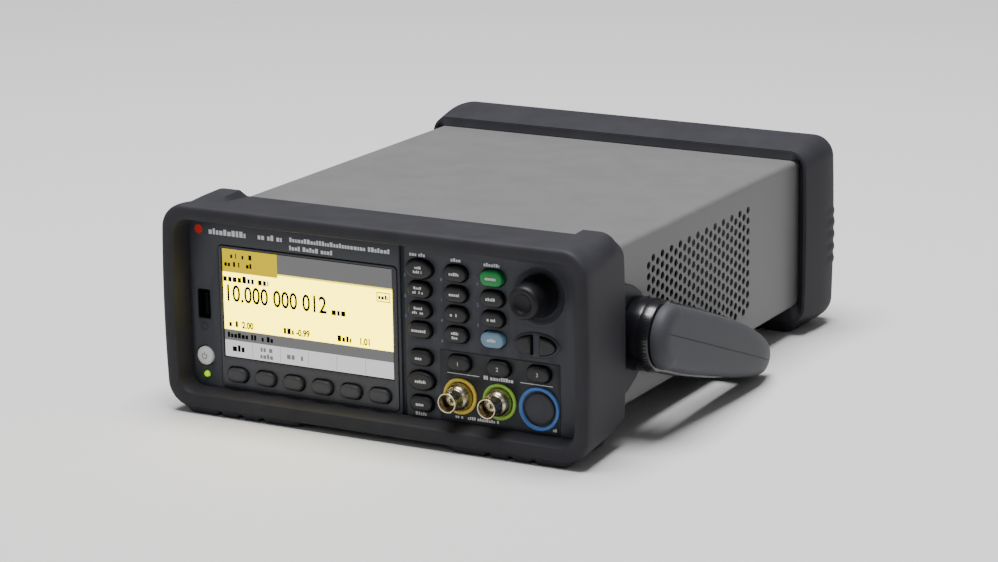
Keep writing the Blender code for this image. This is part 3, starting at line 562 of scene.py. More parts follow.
FRONT_SKIN = [
    (33.0, 110.6, -7.8, 83.2, 8.0, 0.6),
    (32.6, 111.5, -8.7, 84.1, 8.9, 0.8),
    (31.0, 111.9, -9.1, 84.5, 9.2, 0.9),
    (10.0, 113.4, -10.9, 86.3, 10.5, 1.2),
    (-3.0, 114.2, -12.6, 88.0, 12.0, 1.4),
    (-8.4, 114.1, -12.7, 88.1, 12.0, 1.5),
    (-10.2, 113.5, -12.1, 87.5, 11.5, 1.5),
    (-11.0, 112.2, -10.8, 86.2, 10.6, 1.5),
    (-11.2, 110.2, -8.6, 84.0, 9.4, 1.5),
    (-10.9, 108.5, -6.6, 82.2, 8.4, 1.5),
    (-10.0, 107.4, -5.2, 81.0, 7.6, 1.3),
    (-5.0, 106.5, -4.2, 80.3, 6.8, 0.7),
    (-0.4, 106.0, -3.8, 79.9, 6.0, 0.2),
]
REAR_SKIN = [
    (243.9, 110.4, -7.6, 83.0, 7.8, 0.6),
    (244.3, 111.4, -8.6, 84.0, 8.8, 0.8),
    (246.0, 111.9, -9.2, 84.6, 9.2, 0.9),
    (262.0, 113.8, -12.2, 87.6, 11.0, 1.0),
    (273.0, 113.9, -12.4, 87.6, 11.0, 1.0),
    (278.4, 112.8, -11.4, 86.4, 10.2, 1.0),
    (280.4, 110.4, -8.8, 83.8, 8.6, 0.9),
    (280.7, 107.4, -5.8, 80.8, 7.0, 0.7),
    (279.4, 103.8, -1.6, 77.2, 5.0, 0.4),
    (266.0, 102.4, 1.6, 76.4, 4.4, 0.1),
    (252.6, 102.0, 3.4, 76.0, 4.0, 0.0),
]


def front_boot(bm):
    rings = [boot_ring(section, front_shape) for section in spline(FRONT_SKIN, 4)]
    rings += [boot_ring((y, *pocket)) for y, pocket in
              ((-0.4, PANEL_POCKET), (5.0, PANEL_POCKET), (5.0, POCKET), (33.0, POCKET))]
    loft(bm, rings, closed=True)


def side_groove(point):
    """The pocket's mouth: a deep channel at the sides, and a sloping lip along the top and underside."""
    return Vector((point.x, 242.6 + 4.8 * smooth_step(abs(point.x), 104.4, 106.4), point.z))


def rear_boot(bm):
    rings = [boot_ring(section, rear_shape) for section in spline(REAR_SKIN, 4)]
    rings += [boot_ring((252.0, 102.0, 3.4, 76.0, 4.0, 0.0)), boot_ring((252.0, *POCKET)),
              boot_ring((247.4, *POCKET), side_groove)]
    loft(bm, rings, closed=True)


STANDING_Y = box_of("rear_bumper")[1].y
STANDING_X = 102.5
STANDING_Z = (71.5, 3.5)


def standing_pads(bm):
    """Rounded pads on the rear corners, for standing the counter on its back."""
    for side in (-1, 1):
        for z in STANDING_Z:
            rings = []
            for y, inset in ((268.0, -0.6), (STANDING_Y - 4.0, -0.2), (STANDING_Y - 1.8, 0.0),
                             (STANDING_Y - 0.7, 0.4), (STANDING_Y - 0.15, 1.2), (STANDING_Y, 2.4)):
                outline = centred(side * STANDING_X, z, 7.8 - inset, 6.6 - inset, 4.6 - inset, 6)
                rings.append(at_depth(outline, y))
            loft(bm, rings)


piece("front_boot", front_boot, ["bumper"], slot="bumper_rubber", replaces=["front_bumper"], smooth=40)
carved("rear_boot", rear_boot, [("join", standing_pads)], ["bumper"], slot="bumper_rubber",
       replaces=["rear_bumper"], smooth=40)


# ---------------------------------------------------------------- front panel

KEY_CLEARANCE = 0.5
OVAL_KEYS = ("autoscale_key", "trigger_key")
PILL_KEYS = ("frequency_key", "interval_key", "totalize_key", "gate_key", "back_key", "digits_key",
             "graph_key", "math_key", "log_key", "preset_key", "utility_key", "help_key", "shift_key",
             "channel_1_key", "channel_2_key", "channel_3_key")
SOFT_KEYS = tuple(f"soft_key_{i}" for i in range(1, 7))
ARROW_KEYS = {"left_arrow_key": -1, "right_arrow_key": 1}


def key_outline(node, grow=0.0):
    """A key's outline from its CAD box."""
    low, high = box_of(node)
    middle = ((low.x + high.x) / 2, (low.z + high.z) / 2)
    size = (high.x - low.x, high.z - low.z)
    if node in OVAL_KEYS + ("power_button",):
        return oval(middle, size, grow)
    if node in ARROW_KEYS:
        side = ARROW_KEYS[node]
        root = high.x if side < 0 else low.x
        return half_lens((root, middle[1]), size, side, grow)
    return pill(middle, size, grow)


LEFT_X = centre_of("power_button").x
LED = centre_of("power_led")
KNOB = centre_of("tuning_knob")
JACKS = [centre_of(f"input_{i}_ring") * Vector((1, 0, 1)) for i in (1, 2)]
BLANK = centre_of("channel_3_ring")
FRAME_LOW, FRAME_HIGH = box_of("screen_frame")
USB_LOW, USB_HIGH = box_of("usb_socket")
ARROW_MIDDLE = (centre_of("left_arrow_key") + centre_of("right_arrow_key")) / 2
CHANNEL_KEYS = ("channel_1_key", "channel_2_key", "channel_3_key")
PLATE_LOW, PLATE_HIGH = (32.3, PANEL_LOW.z + 0.3), (95.6, 30.8)
GROOVE_LOW, GROOVE_HIGH = 11.6, 14.0
DISH_RADIUS = 14.2
ARROW_RIM = (23.4, 11.8)


def panel_plate(bm):
    outline = rounded((-PANEL_HIGH.x, PANEL_LOW.z), (PANEL_HIGH.x, PANEL_HIGH.z), 5.0)
    plate(bm, outline, 0.0, PANEL_HIGH.y)


def panel_holes(bm):
    for node in OVAL_KEYS + PILL_KEYS + ("power_button",):
        plate(bm, key_outline(node, KEY_CLEARANCE), -2, 5)
    plate(bm, oval((ARROW_MIDDLE.x, ARROW_MIDDLE.z), ARROW_RIM, -1.4), -2, 5)
    plate(bm, around(FRAME_LOW, FRAME_HIGH, 0.3, 2.5), -2, 5)
    plate(bm, circle((KNOB.x, KNOB.z), DISH_RADIUS - 0.4, 72), -2, 5)
    for jack in JACKS:
        plate(bm, circle((jack.x, jack.z), 6.0), -2, 5)
    plate(bm, circle((BLANK.x, BLANK.z), 7.6), -2, 5)
    plate(bm, circle((LED.x, LED.z), 1.9, 24), -2, 5)
    plate(bm, around(USB_LOW, USB_HIGH, 0.3, 0.8, 4), -2, 5)
    add_box(bm, (GROOVE_LOW, -2, PANEL_LOW.z - 1), (GROOVE_HIGH, 1.6, PANEL_HIGH.z + 1))


carved("panel_face", panel_plate, [("cut", panel_holes), ("bevel", 0.28, 2)], ["panel"],
       slot="panel_plastic", replaces=["front_panel"], smooth=40)


def knob_dish(bm):
    """The smooth hollow that the knob sits in."""
    lathe(bm, [(5.4, -1.9), (10.6, -1.7), (11.6, -1.3), (12.6, -0.6), (13.5, -0.1), (DISH_RADIUS, 0.05),
               (DISH_RADIUS + 0.5, -0.02), (DISH_RADIUS + 0.5, -0.3), (13.6, -2.4), (5.4, -2.4)],
          (KNOB.x, 0, KNOB.z), steps=72, closed=True)


piece("knob_dish", knob_dish, ["panel"], slot="panel_plastic")


def channel_plate(bm):
    plate(bm, rounded(PLATE_LOW, PLATE_HIGH, 0.8, 4), -0.28, 0.2)


def channel_holes(bm):
    for node in CHANNEL_KEYS:
        plate(bm, key_outline(node, KEY_CLEARANCE + 0.05), -2, 5)
    for jack in JACKS:
        plate(bm, circle((jack.x, jack.z), 6.4), -2, 5)
    plate(bm, circle((BLANK.x, BLANK.z), 8.1), -2, 5)


carved("channel_plate", channel_plate, [("cut", channel_holes), ("bevel", 0.12, 2)], ["plate"],
       slot="panel_plastic")


def arrow_rim(bm):
    """The raised oval round the two arrow keys, with a bar between them."""
    middle = (ARROW_MIDDLE.x, ARROW_MIDDLE.z)
    steps = ((2.2, -1.6), (0.2, -1.3), (0.15, 0.6), (-0.2, 0.2), (-0.5, -0.3), (-0.72, -0.9), (-0.78, -1.4))
    loft(bm, [at_depth(oval(middle, ARROW_RIM, grow), y) for y, grow in steps])


def arrow_holes(bm):
    for node in ARROW_KEYS:
        plate(bm, key_outline(node, 0.65), -4, 6)


carved("arrow_bezel", arrow_rim, [("cut", arrow_holes), ("bevel", 0.16, 2)], ["panel"],
       slot="panel_plastic")


# ---------------------------------------------------------------- screen

GLASS_LOW, GLASS_HIGH = box_of("screen_window")


def frame_plate(bm):
    plate(bm, around(FRAME_LOW, FRAME_HIGH, 0.0, 2.2), FRAME_LOW.y, FRAME_HIGH.y)


def frame_holes(bm):
    plate(bm, around(GLASS_LOW, GLASS_HIGH, 0.3, 0.6, 4), -2, 5)
    for node in SOFT_KEYS:
        plate(bm, key_outline(node, KEY_CLEARANCE), -2, 5)


carved("screen_surround", frame_plate, [("cut", frame_holes), ("bevel", 0.35, 3)], ["screen_frame"],
       slot="screen_frame_plastic", replaces=["screen_frame"], smooth=50)


def glass_plate(bm):
    plate(bm, around(GLASS_LOW, GLASS_HIGH, 0.0, 0.4, 3), GLASS_LOW.y, GLASS_HIGH.y)


piece("screen_glass", glass_plate, ["glass"], slot="screen_glass", replaces=["screen_window"])

PICTURE_WIDTH = GLASS_HIGH.x - GLASS_LOW.x
PICTURE_HEIGHT = GLASS_HIGH.z - GLASS_LOW.z
PICTURE_Y = GLASS_LOW.y - 0.03


def on_picture(u, v):
    """Point of the picture from shares of its width and height, counted from the top left."""
    return GLASS_LOW.x + u * PICTURE_WIDTH, GLASS_HIGH.z - v * PICTURE_HEIGHT


def patch(bm, u0, v0, u1, v1, layer=0):
    (x0, z0), (x1, z1) = on_picture(u0, v1), on_picture(u1, v0)
    y = PICTURE_Y - 0.04 * layer
    add_box(bm, (x0, y - 0.02, z0), (x1, y + 0.02, z1))


BAR_TOP = 0.178
LINE_TOP = 0.192
BOX_BOTTOM = 0.215
BOX_RIGHT = 0.330
STATUS_TOP = 0.746
KEYS_TOP = 0.844


def picture(kind, patches, layer=0):
    def build(bm):
        for u0, v0, u1, v1 in patches:
            patch(bm, u0, v0, u1, v1, layer)
    piece(kind, build, [kind], slot="screen_glass")


picture("picture_yellow", [(0.003, 0.003, BOX_RIGHT, BOX_BOTTOM)])
picture("picture_grey", [(BOX_RIGHT, 0.003, 0.997, BAR_TOP), (0.003, STATUS_TOP, 0.997, KEYS_TOP)])
picture("picture_pale", [(BOX_RIGHT, BAR_TOP, 0.997, LINE_TOP)])
picture("picture_cream", [(0.003, BOX_BOTTOM, 0.997, STATUS_TOP),
                          (BOX_RIGHT, LINE_TOP, 0.997, BOX_BOTTOM)])
picture("picture_light", [(0.003, KEYS_TOP, 0.997, 0.997)])
picture("picture_line", [(i / 6 - 0.0015, KEYS_TOP + 0.01, i / 6 + 0.0015, 0.99) for i in range(1, 6)], 1)


def picture_words(name, kind, lines):
    """Lines of (u of the middle, v of the middle, share of the width, share of the height)."""
    def build(bm):
        for u, v, width, height in lines:
            x, z = on_picture(u, v)
            words(bm, x, z, PICTURE_Y - 0.05, width * PICTURE_WIDTH, height * PICTURE_HEIGHT)
    piece(name, build, [kind], slot="screen_glass")


picture_words("picture_ink", "picture_ink", [
    (0.070, 0.062, 0.035, 0.045), (0.150, 0.062, 0.060, 0.045),
    (0.060, 0.140, 0.090, 0.045), (0.165, 0.140, 0.040, 0.045),
    (0.140, 0.272, 0.270, 0.062), (0.685, 0.455, 0.080, 0.062),
    (0.062, 0.690, 0.062, 0.055), (0.380, 0.690, 0.075, 0.055), (0.715, 0.690, 0.080, 0.055),
    (0.165, 0.795, 0.290, 0.048), (0.085, 0.915, 0.075, 0.060)])
picture_words("picture_fade", "picture_fade", [
    (0.250, 0.890, 0.070, 0.050), (0.250, 0.955, 0.075, 0.045), (0.420, 0.920, 0.095, 0.055)])


def gate_tag(bm):
    for u0, v0, u1, v1 in ((0.908, 0.222, 0.985, 0.230), (0.908, 0.300, 0.985, 0.308),
                           (0.908, 0.222, 0.912, 0.308), (0.981, 0.222, 0.985, 0.308)):
        patch(bm, u0, v0, u1, v1, 1)
    x, z = on_picture(0.946, 0.265)
    words(bm, x, z, PICTURE_Y - 0.05, 0.058 * PICTURE_WIDTH, 0.040 * PICTURE_HEIGHT)


piece("picture_tag", gate_tag, ["picture_ink"], slot="screen_glass")

def reading(name, lines, height, narrow, bold):
    """Dark figures on the picture: lines of (text, u of the left end, v of the middle)."""
    placed = [(text, *on_picture(u, v), height * PICTURE_HEIGHT, narrow, "LEFT") for text, u, v in lines]
    add(name, figures_mesh(name, placed, PICTURE_Y - 0.05, bold), ["picture_ink"], slot="screen_glass")


reading("picture_reading", [("10.000 000 012", 0.008, 0.405)], 0.150, 0.80, 0.17)
reading("picture_small_readings", [("2.00", 0.108, 0.690), ("-0.99", 0.430, 0.690), ("1.01", 0.800, 0.690)],
        0.058, 0.85, 0.16)


# ---------------------------------------------------------------- keys

def key_cap(node, dome):
    """Rings from a cap's skirt to the edge of its flat face."""
    low, high = box_of(node)
    steps = ((high.y, 0.0), (low.y + 1.05, 0.0), (low.y + 0.62, -0.10), (low.y + 0.26, -0.36),
             (low.y + 0.05, -0.82), (low.y - dome * 0.6, -1.35), (low.y - dome, -1.9))

    def build(bm):
        loft(bm, [at_depth(key_outline(node, grow), y) for y, grow in steps])
    return build


def key_piece(node, kind, slot, dome=0.12):
    piece(node + "_cap", key_cap(node, dome), [kind], body=node, slot=slot, replaces=[node], smooth=50)


def key_legend(node, lines, kind="print"):
    """Legend blocks on a cap; lines of (width, height, drop below the middle)."""
    middle = centre_of(node)
    face = box_of(node)[0].y - 0.12

    def build(bm):
        for width, height, drop in lines:
            words(bm, middle.x, middle.z - drop, face, width, height)
    piece(node + "_legend", build, [kind], body=node, slot="power_button_plastic")


KEY_KINDS = {"preset_key": ("green_key", "green_key_rubber"), "shift_key": ("blue_key", "blue_key_rubber")}
for node in OVAL_KEYS + PILL_KEYS:
    key_piece(node, *KEY_KINDS.get(node, ("key", "key_rubber")))
for node in SOFT_KEYS:
    key_piece(node, "soft_key", "key_rubber")
for node in ARROW_KEYS:
    key_piece(node, "key", "key_rubber", dome=0.05)
key_piece("power_button", "power_key", "power_button_plastic", dome=0.10)

ONE_LINE = {"totalize_key": 7.6, "gate_key": 4.4, "trigger_key": 6.6, "back_key": 4.6, "digits_key": 5.2,
            "graph_key": 5.4, "math_key": 4.6, "preset_key": 5.6, "utility_key": 5.4, "help_key": 4.4,
            "shift_key": 4.4}
TWO_LINES = {"autoscale_key": (4.2, 4.6), "frequency_key": (4.4, 5.6), "interval_key": (4.4, 6.4),
             "log_key": (3.8, 3.2)}
for node, width in ONE_LINE.items():
    key_legend(node, [(width, 1.5, 0.0)])
for node, (upper, lower) in TWO_LINES.items():
    key_legend(node, [(upper, 1.3, -1.05), (lower, 1.3, 1.05)])
for number, node in enumerate(CHANNEL_KEYS, start=1):
    middle = centre_of(node)
    add(node + "_legend", figures_mesh(node + "_legend", [
        (str(number), middle.x, middle.z, 1.9, 1.0, "CENTER")], box_of(node)[0].y - 0.12),
        ["print"], body=node, slot="power_button_plastic")


def power_symbol(bm):
    """A broken ring with a bar, on the power button."""
    middle, face = centre_of("power_button"), box_of("power_button")[0].y - 0.11
    centre = (middle.x, middle.z)
    loop = arc(centre, 1.55, 125, 415, 24) + arc(centre, 1.20, 415, 125, 24)
    loft(bm, [at_depth(loop, face + 0.03), at_depth(loop, face - 0.03)])
    add_box(bm, (middle.x - 0.18, face - 0.03, middle.z + 0.2),
            (middle.x + 0.18, face + 0.03, middle.z + 1.9))


piece("power_symbol", power_symbol, ["print_dark"], body="power_button", slot="power_button_plastic")


# ---------------------------------------------------------------- knob, jacks and small front parts

def knob(bm):
    lathe(bm, [(0.0, 14.3), (2.2, 14.4), (3.5, 14.7), (4.3, 15.4), (4.9, 16.1), (5.6, 16.45), (6.5, 16.4),
               (7.3, 15.9), (7.8, 15.0), (8.1, 13.4), (8.5, 9.0), (8.9, 5.0), (9.3, 3.0), (9.9, 1.9),
               (10.2, 1.3), (10.15, 0.7), (9.8, 0.6), (3.4, 0.6), (3.4, 11.0), (0.0, 11.0)],
          (KNOB.x, 0, KNOB.z), steps=96)


piece("knob_cap", knob, ["knob"], body="knob", slot="knob_rubber", replaces=["tuning_knob"], smooth=60)

# Bayonet jack, as (radius, height in front of the panel, material of the band that follows)
JACK_PROFILE = (
    (0.0, 6.4, 3), (0.5, 6.4, 3), (0.5, 9.2, 1), (0.9, 9.4, 1), (1.2, 9.1, 1), (1.3, 8.9, 2),
    (2.3, 8.9, 2), (2.5, 8.6, 2), (2.5, 5.4, 1), (3.9, 5.3, 1), (3.95, 12.6, 1), (4.1, 13.2, 0),
    (4.25, 13.5, 0), (4.65, 13.5, 0), (4.85, 13.2, 0), (4.85, 12.0, 0), (4.55, 11.7, 0), (4.5, 6.4, 0),
    (4.75, 6.0, 0), (5.3, 5.6, 0), (5.9, 4.8, 0), (6.4, 3.6, 0), (6.65, 2.2, 0), (6.7, 0.3, 0),
    (4.9, 0.3, 0), (4.9, -14.0, 0), (0.0, -14.0, 0))
REAR_JACK_LOSS = 3.5
LUG_HEIGHT = 9.8
LUG_PROFILE = ((1.0, 4.0), (1.0, 5.3), (0.8, 5.6), (0.0, 5.6))
# The shadow finish is painted shade down the hollow of the centre contact.
JACK_FINISHES = ["nickel", "gold", "insulator", "shadow"]


def jack(bm, profile, centre, axis, lug_height, steps):
    """A bayonet jack with two lugs, a pale insulator and a gold centre contact."""
    lathe(bm, profile, centre, axis, steps[0], kinds=[kind for _, _, kind in JACK_PROFILE])
    for side in (-1, 1):
        lathe(bm, LUG_PROFILE, Vector(centre) + axis * lug_height, Vector((0, 0, side)), steps[1])


def input_jack(place):
    def build(bm):
        jack(bm, [(r, h) for r, h, _ in JACK_PROFILE], place, FRONT, LUG_HEIGHT, (64, 20))
    return build


for number, place in enumerate(JACKS, start=1):
    piece(f"input_{number}_jack", input_jack(place), JACK_FINISHES, slot="connector_nickel",
          replaces=[f"input_{number}"], smooth=40)


def collar(name, node, kind, slot, inner, outer):
    """A coloured plastic collar with a rounded rim and a dished inside."""
    middle = centre_of(node)

    def build(bm):
        lathe(bm, [(inner, 0.3), (inner, 0.75), (inner + 0.25, 1.0), (outer - 1.0, 1.5),
                   (outer - 0.45, 1.5), (outer - 0.12, 1.3), (outer, 0.95), (outer, 0.3)],
              (middle.x, 0, middle.z), steps=80, closed=True)
    piece(name, build, [kind], slot=slot, replaces=[node], smooth=50)


collar("input_1_collar", "input_1_ring", "yellow_ring", "yellow_ring_plastic", 6.95, 8.75)
collar("input_2_collar", "input_2_ring", "green_ring", "green_ring_plastic", 6.95, 8.75)
collar("channel_3_collar", "channel_3_ring", "blue_ring", "blue_ring_plastic", 8.7, 10.6)


def blank_cap(bm):
    lathe(bm, [(0.0, 1.25), (6.4, 1.05), (7.1, 0.9), (7.5, 0.6), (7.6, 0.1), (7.2, -1.0), (6.2, -1.2),
               (6.2, -2.5), (0.0, -2.5)], (BLANK.x, 0, BLANK.z), steps=72)


piece("channel_3_cap", blank_cap, ["panel"], slot="panel_plastic", replaces=["channel_3_blank"],
      smooth=40)


def usb_shell(bm):
    """A folded metal shell with a plastic tongue, contacts and four springs; its inside and the springs take
    the shadow finish, painted shade for the socket's hollow.
    """
    x0, x1, z0, z1 = USB_LOW.x, USB_HIGH.x, USB_LOW.z, USB_HIGH.z
    front, back = USB_LOW.y, USB_HIGH.y
    outer = around(USB_LOW, USB_HIGH, 0.0, 0.5, 4)
    inner = around(USB_LOW, USB_HIGH, -0.3, 0.3, 4)
    loft(bm, [at_depth(outer, back), at_depth(outer, front), at_depth(inner, front),
              at_depth(inner, back - 1.0)], kinds=[3, 3, 0])
    add_box(bm, (x1 - 3.1, front + 0.6, z0 + 1.3), (x1 - 1.2, back - 1.2, z1 - 1.3), 1)
    for i in range(4):
        z = z0 + 3.4 + i * 2.4
        add_box(bm, (x1 - 3.25, front + 1.0, z - 0.5), (x1 - 3.1, back - 1.5, z + 0.5), 2)
    for z in (z0 + 3.6, z1 - 3.6):
        add_box(bm, (x0 + 0.35, front + 1.2, z - 0.9), (x0 + 0.65, front + 6.0, z + 0.9), 0)
    for x in (x0 + 2.0, x1 - 1.8):
        add_box(bm, (x - 0.5, front + 1.0, z0 + 0.35), (x + 0.5, front + 5.0, z0 + 0.6), 0)


piece("usb_shell", usb_shell, ["shadow", "black", "gold", "dark_steel"], slot="connector_steel",
      replaces=["usb_socket"])


def led_lens(bm):
    lathe(bm, [(0.0, 0.75), (0.6, 0.68), (1.1, 0.45), (1.42, 0.1), (1.5, -0.4), (1.5, -2.8), (0.0, -2.8)],
          (LED.x, 0, LED.z), steps=36)


piece("led_lens", led_lens, ["led"], slot="led_lens", replaces=["power_led"], smooth=60)


# ---------------------------------------------------------------- prints on the front

PRINT_Y = -0.03
PLATE_PRINT_Y = -0.31


def panel_words(bm):
    words(bm, -84.0, 73.9, PRINT_Y, 21.0, 2.9)
    words(bm, -59.8, 74.0, PRINT_Y, 13.5, 2.6)
    words(bm, -20.5, 74.4, PRINT_Y, 56.5, 2.2)
    words(bm, -37.0, 70.4, PRINT_Y, 24.0, 2.2)
    for x, z, width in ((21.8, 74.8, 9.6), (41.2, 74.3, 6.0), (60.6, 74.0, 8.2)):
        words(bm, x, z, PRINT_Y, width, 1.7)
    words(bm, 21.5, -2.2, PRINT_Y, 5.8, 1.7)


def plate_words(bm):
    words(bm, 64.2, 20.0, PLATE_PRINT_Y, 17.0, 1.8)
    words(bm, 52.4, -0.9, PLATE_PRINT_Y, 24.0, 1.5)
    words(bm, 92.4, -0.8, PLATE_PRINT_Y, 2.6, 1.5)
    for x0, x1 in ((36.4, 53.4), (75.0, 92.0)):
        add_box(bm, (x0, PLATE_PRINT_Y - 0.02, 19.85), (x1, PLATE_PRINT_Y + 0.02, 20.15))


def usb_mark(bm):
    """A plain ring moulded under the socket."""
    lathe(bm, [(1.5, 0.0), (1.5, 0.06), (1.9, 0.06), (1.9, 0.0)], (LEFT_X, 0.0, 25.9), steps=32,
          closed=True)


def red_dot(bm):
    lathe(bm, [(0.0, 0.06), (2.2, 0.06), (2.2, 0.0), (0.0, 0.0)], (-100.4, 0.0, 74.3), steps=32)


piece("panel_print", panel_words, ["print"], slot="panel_plastic")
piece("plate_print", plate_words, ["print"], slot="panel_plastic")
piece("socket_mark", usb_mark, ["key"], slot="panel_plastic")
piece("red_dot", red_dot, ["print_red"], slot="panel_plastic")

SHIFTED = ("autoscale_key", "digits_key", "preset_key", "frequency_key", "graph_key", "utility_key",
           "interval_key", "math_key", "help_key", "log_key")
shift_figures = []
for order, node in enumerate(SHIFTED):
    spot = centre_of(node)
    shift_figures.append((str((order + 7) % 10), spot.x - 8.3, spot.z - 4.0, 1.5, 0.9, "CENTER"))
add("shift_figures", figures_mesh("shift_figures", shift_figures, PRINT_Y), ["print_blue"],
    slot="panel_plastic")


# ---------------------------------------------------------------- handle

GRIP_LOW, GRIP_HIGH = box_of("handle_grip_right")
GRIP_THICKNESS = GRIP_HIGH.x - GRIP_LOW.x
PIVOT = next((Vector(joint["pos_m"]) - SHIFT) / MM for joint in frame["joints"]
             if joint["name"] == "handle_swing")
HUB_RADIUS = 17.8
HUB_OUTER = box_of("handle_frame")[1].x
HUB_INNER = HUB_OUTER - 14.1
ARM_INNER = 116.4
DROP = math.radians(19.5)
ALONG = Vector((0, math.cos(DROP), -math.sin(DROP)))
ACROSS = Vector((0, math.sin(DROP), math.cos(DROP)))


def arm_point(x, distance, across):
    return Vector((x, PIVOT.y, PIVOT.z)) + ALONG * distance + ACROSS * across


def smooth_loop(points, steps=4):
    """A smooth closed loop through points."""
    count = len(points)
    result = []
    for i in range(count):
        result += curve_between([points[(i + k) % count] for k in (-1, 0, 1, 2)], steps)
    return result


def arm_loop(radius, lower, upper):
    """An arm's outline as (distance, across): round the hub, then its tapering edges."""
    return smooth_loop(arc((0, 0), radius, 78, 282, 14) + lower + upper)


FRAME_LOOP = arm_loop(HUB_RADIUS, [
    (30, -17.0), (50, -15.9), (70, -14.6), (88, -13.0), (103, -11.2), (116, -8.6), (123, -4.8)], [
    (125.5, 1.0), (121.5, 6.6), (113, 10.8), (102, 14.0), (87, 16.2), (60, 17.2), (30, 17.6)])
GRIP_LOOP = arm_loop(15.8, [
    (22, -15.6), (40, -14.9), (57, -14.0), (80, -12.8), (101, -11.0), (115, -8.9), (124, -6.0)], [
    (128.4, -0.6), (127.2, 4.6), (120, 9.2), (106, 12.2), (90, 14.0), (72, 14.8), (50, 15.2), (24, 15.6)])


NOSE_START = 70
NOSE_SPINE = 10.0


def arm_ring(x, loop, inset, reach=None):
    """The loop at x, drawn in towards the arm's slightly rising middle line; reach moves its tip."""
    tip = max(d for d, _ in loop)
    ring = []
    for distance, across in loop:
        if reach and distance > NOSE_START:
            distance = NOSE_START + (distance - NOSE_START) * (reach - NOSE_START) / (tip - NOSE_START)
        spine = min(max(distance, 0.0), (reach or tip) - NOSE_SPINE)
        rise = 0.6 * spine / 118
        dx, dy = distance - spine, across - rise
        share = max(0.05, 1 - inset / math.hypot(dx, dy))
        ring.append(arm_point(x, spine + dx * share, rise + dy * share))
    return ring


# A grip from its inner face to its outer one: (share of its thickness, drawn in, reach of its nose)
GRIP_SKIN = (
    (0.0, 0.5, 127.6), (0.05, 0.1, 128.0), (0.13, 0.0, 127.2), (0.30, 0.0, 124.6), (0.48, 0.25, 121.2),
    (0.62, 0.7, 118.4), (0.74, 1.4, 115.6), (0.84, 2.4, 112.8), (0.91, 3.5, 110.4), (0.96, 4.9, 107.6),
    (0.99, 6.6, 104.4), (1.0, 8.4, 101.0))
PARTING_DEPTH = 0.45
PARTING_HALF = 0.22


def grip_body(side):
    """A soft grip, rounded over its outer face and running out to a blunt nose."""
    def build(bm):
        loft(bm, [arm_ring(side * (GRIP_LOW.x + GRIP_THICKNESS * share), GRIP_LOOP, inset, reach)
                  for share, inset, reach in GRIP_SKIN])
    return build


def parting_slot(side):
    """A thin blade that follows the grip's outer face and nose, and leaves their parting line."""
    def build(bm):
        path = [(GRIP_HIGH.x + 2.0, -22.0), (GRIP_HIGH.x + 2.0, 134.0), (GRIP_LOW.x + 1.0, 134.0)]
        path += [(GRIP_LOW.x + (GRIP_THICKNESS - PARTING_DEPTH) * share, reach - inset - PARTING_DEPTH)
                 for share, inset, reach in GRIP_SKIN if share > 0.1]
        path.append((GRIP_HIGH.x - PARTING_DEPTH, -22.0))
        loft(bm, [[arm_point(side * x, d, 0.75 - 0.012 * d + half) for x, d in path]
                  for half in (-PARTING_HALF, PARTING_HALF)])
    return build



def hub_drum(side):
    """The glossy hub that turns on the pivot plate."""
    def build(bm):
        rings = []
        for x, inset in ((HUB_INNER, 0.9), (HUB_INNER + 0.35, 0.25), (HUB_INNER + 1.0, 0.0),
                         (ARM_INNER, 0.55), (HUB_OUTER - 0.9, 0.9)):
            circuit = arc((0, 0), HUB_RADIUS - inset, 0, 360, 64)[:-1]
            rings.append([arm_point(side * x, a, b) for a, b in circuit])
        loft(bm, rings)
    return build


def arm_blade(side):
    """The thin arm that passes outside the front bumper."""
    def build(bm):
        rings = []
        for x, inset in ((ARM_INNER, 1.0), (ARM_INNER + 0.4, 0.3), (ARM_INNER + 1.0, 0.1),
                         (HUB_OUTER - 1.0, 0.9), (HUB_OUTER - 0.3, 1.2), (HUB_OUTER, 1.8)):
            rings.append(arm_ring(side * x, FRAME_LOOP, inset))
        loft(bm, rings)
    return build


BAR_REACH = 115.0
BAR_ACROSS = -3.6
BAR_HALF = (11.0, 4.3)


def crossbar(bm):
    """The bar between the arms, slightly waisted in the middle."""
    middle = arm_point(0, BAR_REACH, BAR_ACROSS)
    rings = []
    count = 32
    for i in range(count + 1):
        x = (ARM_INNER + 2.0) * (2 * i / count - 1)
        waist = 1.0 - 0.14 * (1 - min(1.0, abs(x) / ARM_INNER) ** 4)
        half_y, half_z = BAR_HALF[0] * waist, BAR_HALF[1] * (waist * 0.5 + 0.5)
        outline = centred(0.0, 0.0, half_y, half_z, min(3.9, half_z - 0.1), 6)
        rings.append([Vector((x, middle.y + a, middle.z + b)) for a, b in outline])
    loft(bm, rings)


carved("handle_bow", crossbar, [("join", maker(side)) for side in (1, -1) for maker in (arm_blade, hub_drum)],
       ["gloss_black"], body="handle", slot="handle_gloss_black", replaces=["handle_frame"], smooth=40)
for side, label in ((1, "right"), (-1, "left")):
    carved(f"grip_{label}", grip_body(side), [("cut", parting_slot(side))], ["grip"], body="handle",
           slot="grip_soft_touch", replaces=[f"handle_grip_{label}"], smooth=45)


# The pivot plate's curved edge behind its straight one, as (y, z)
MOUNT_EDGE = [(44.5, 8.0), (53.0, 12.2), (60.0, 17.6), (64.4, 24.0), (66.0, 34.0), (65.4, 41.0),
              (63.0, 48.4), (58.6, 53.6), (52.0, 57.6), (44.0, 60.4)]


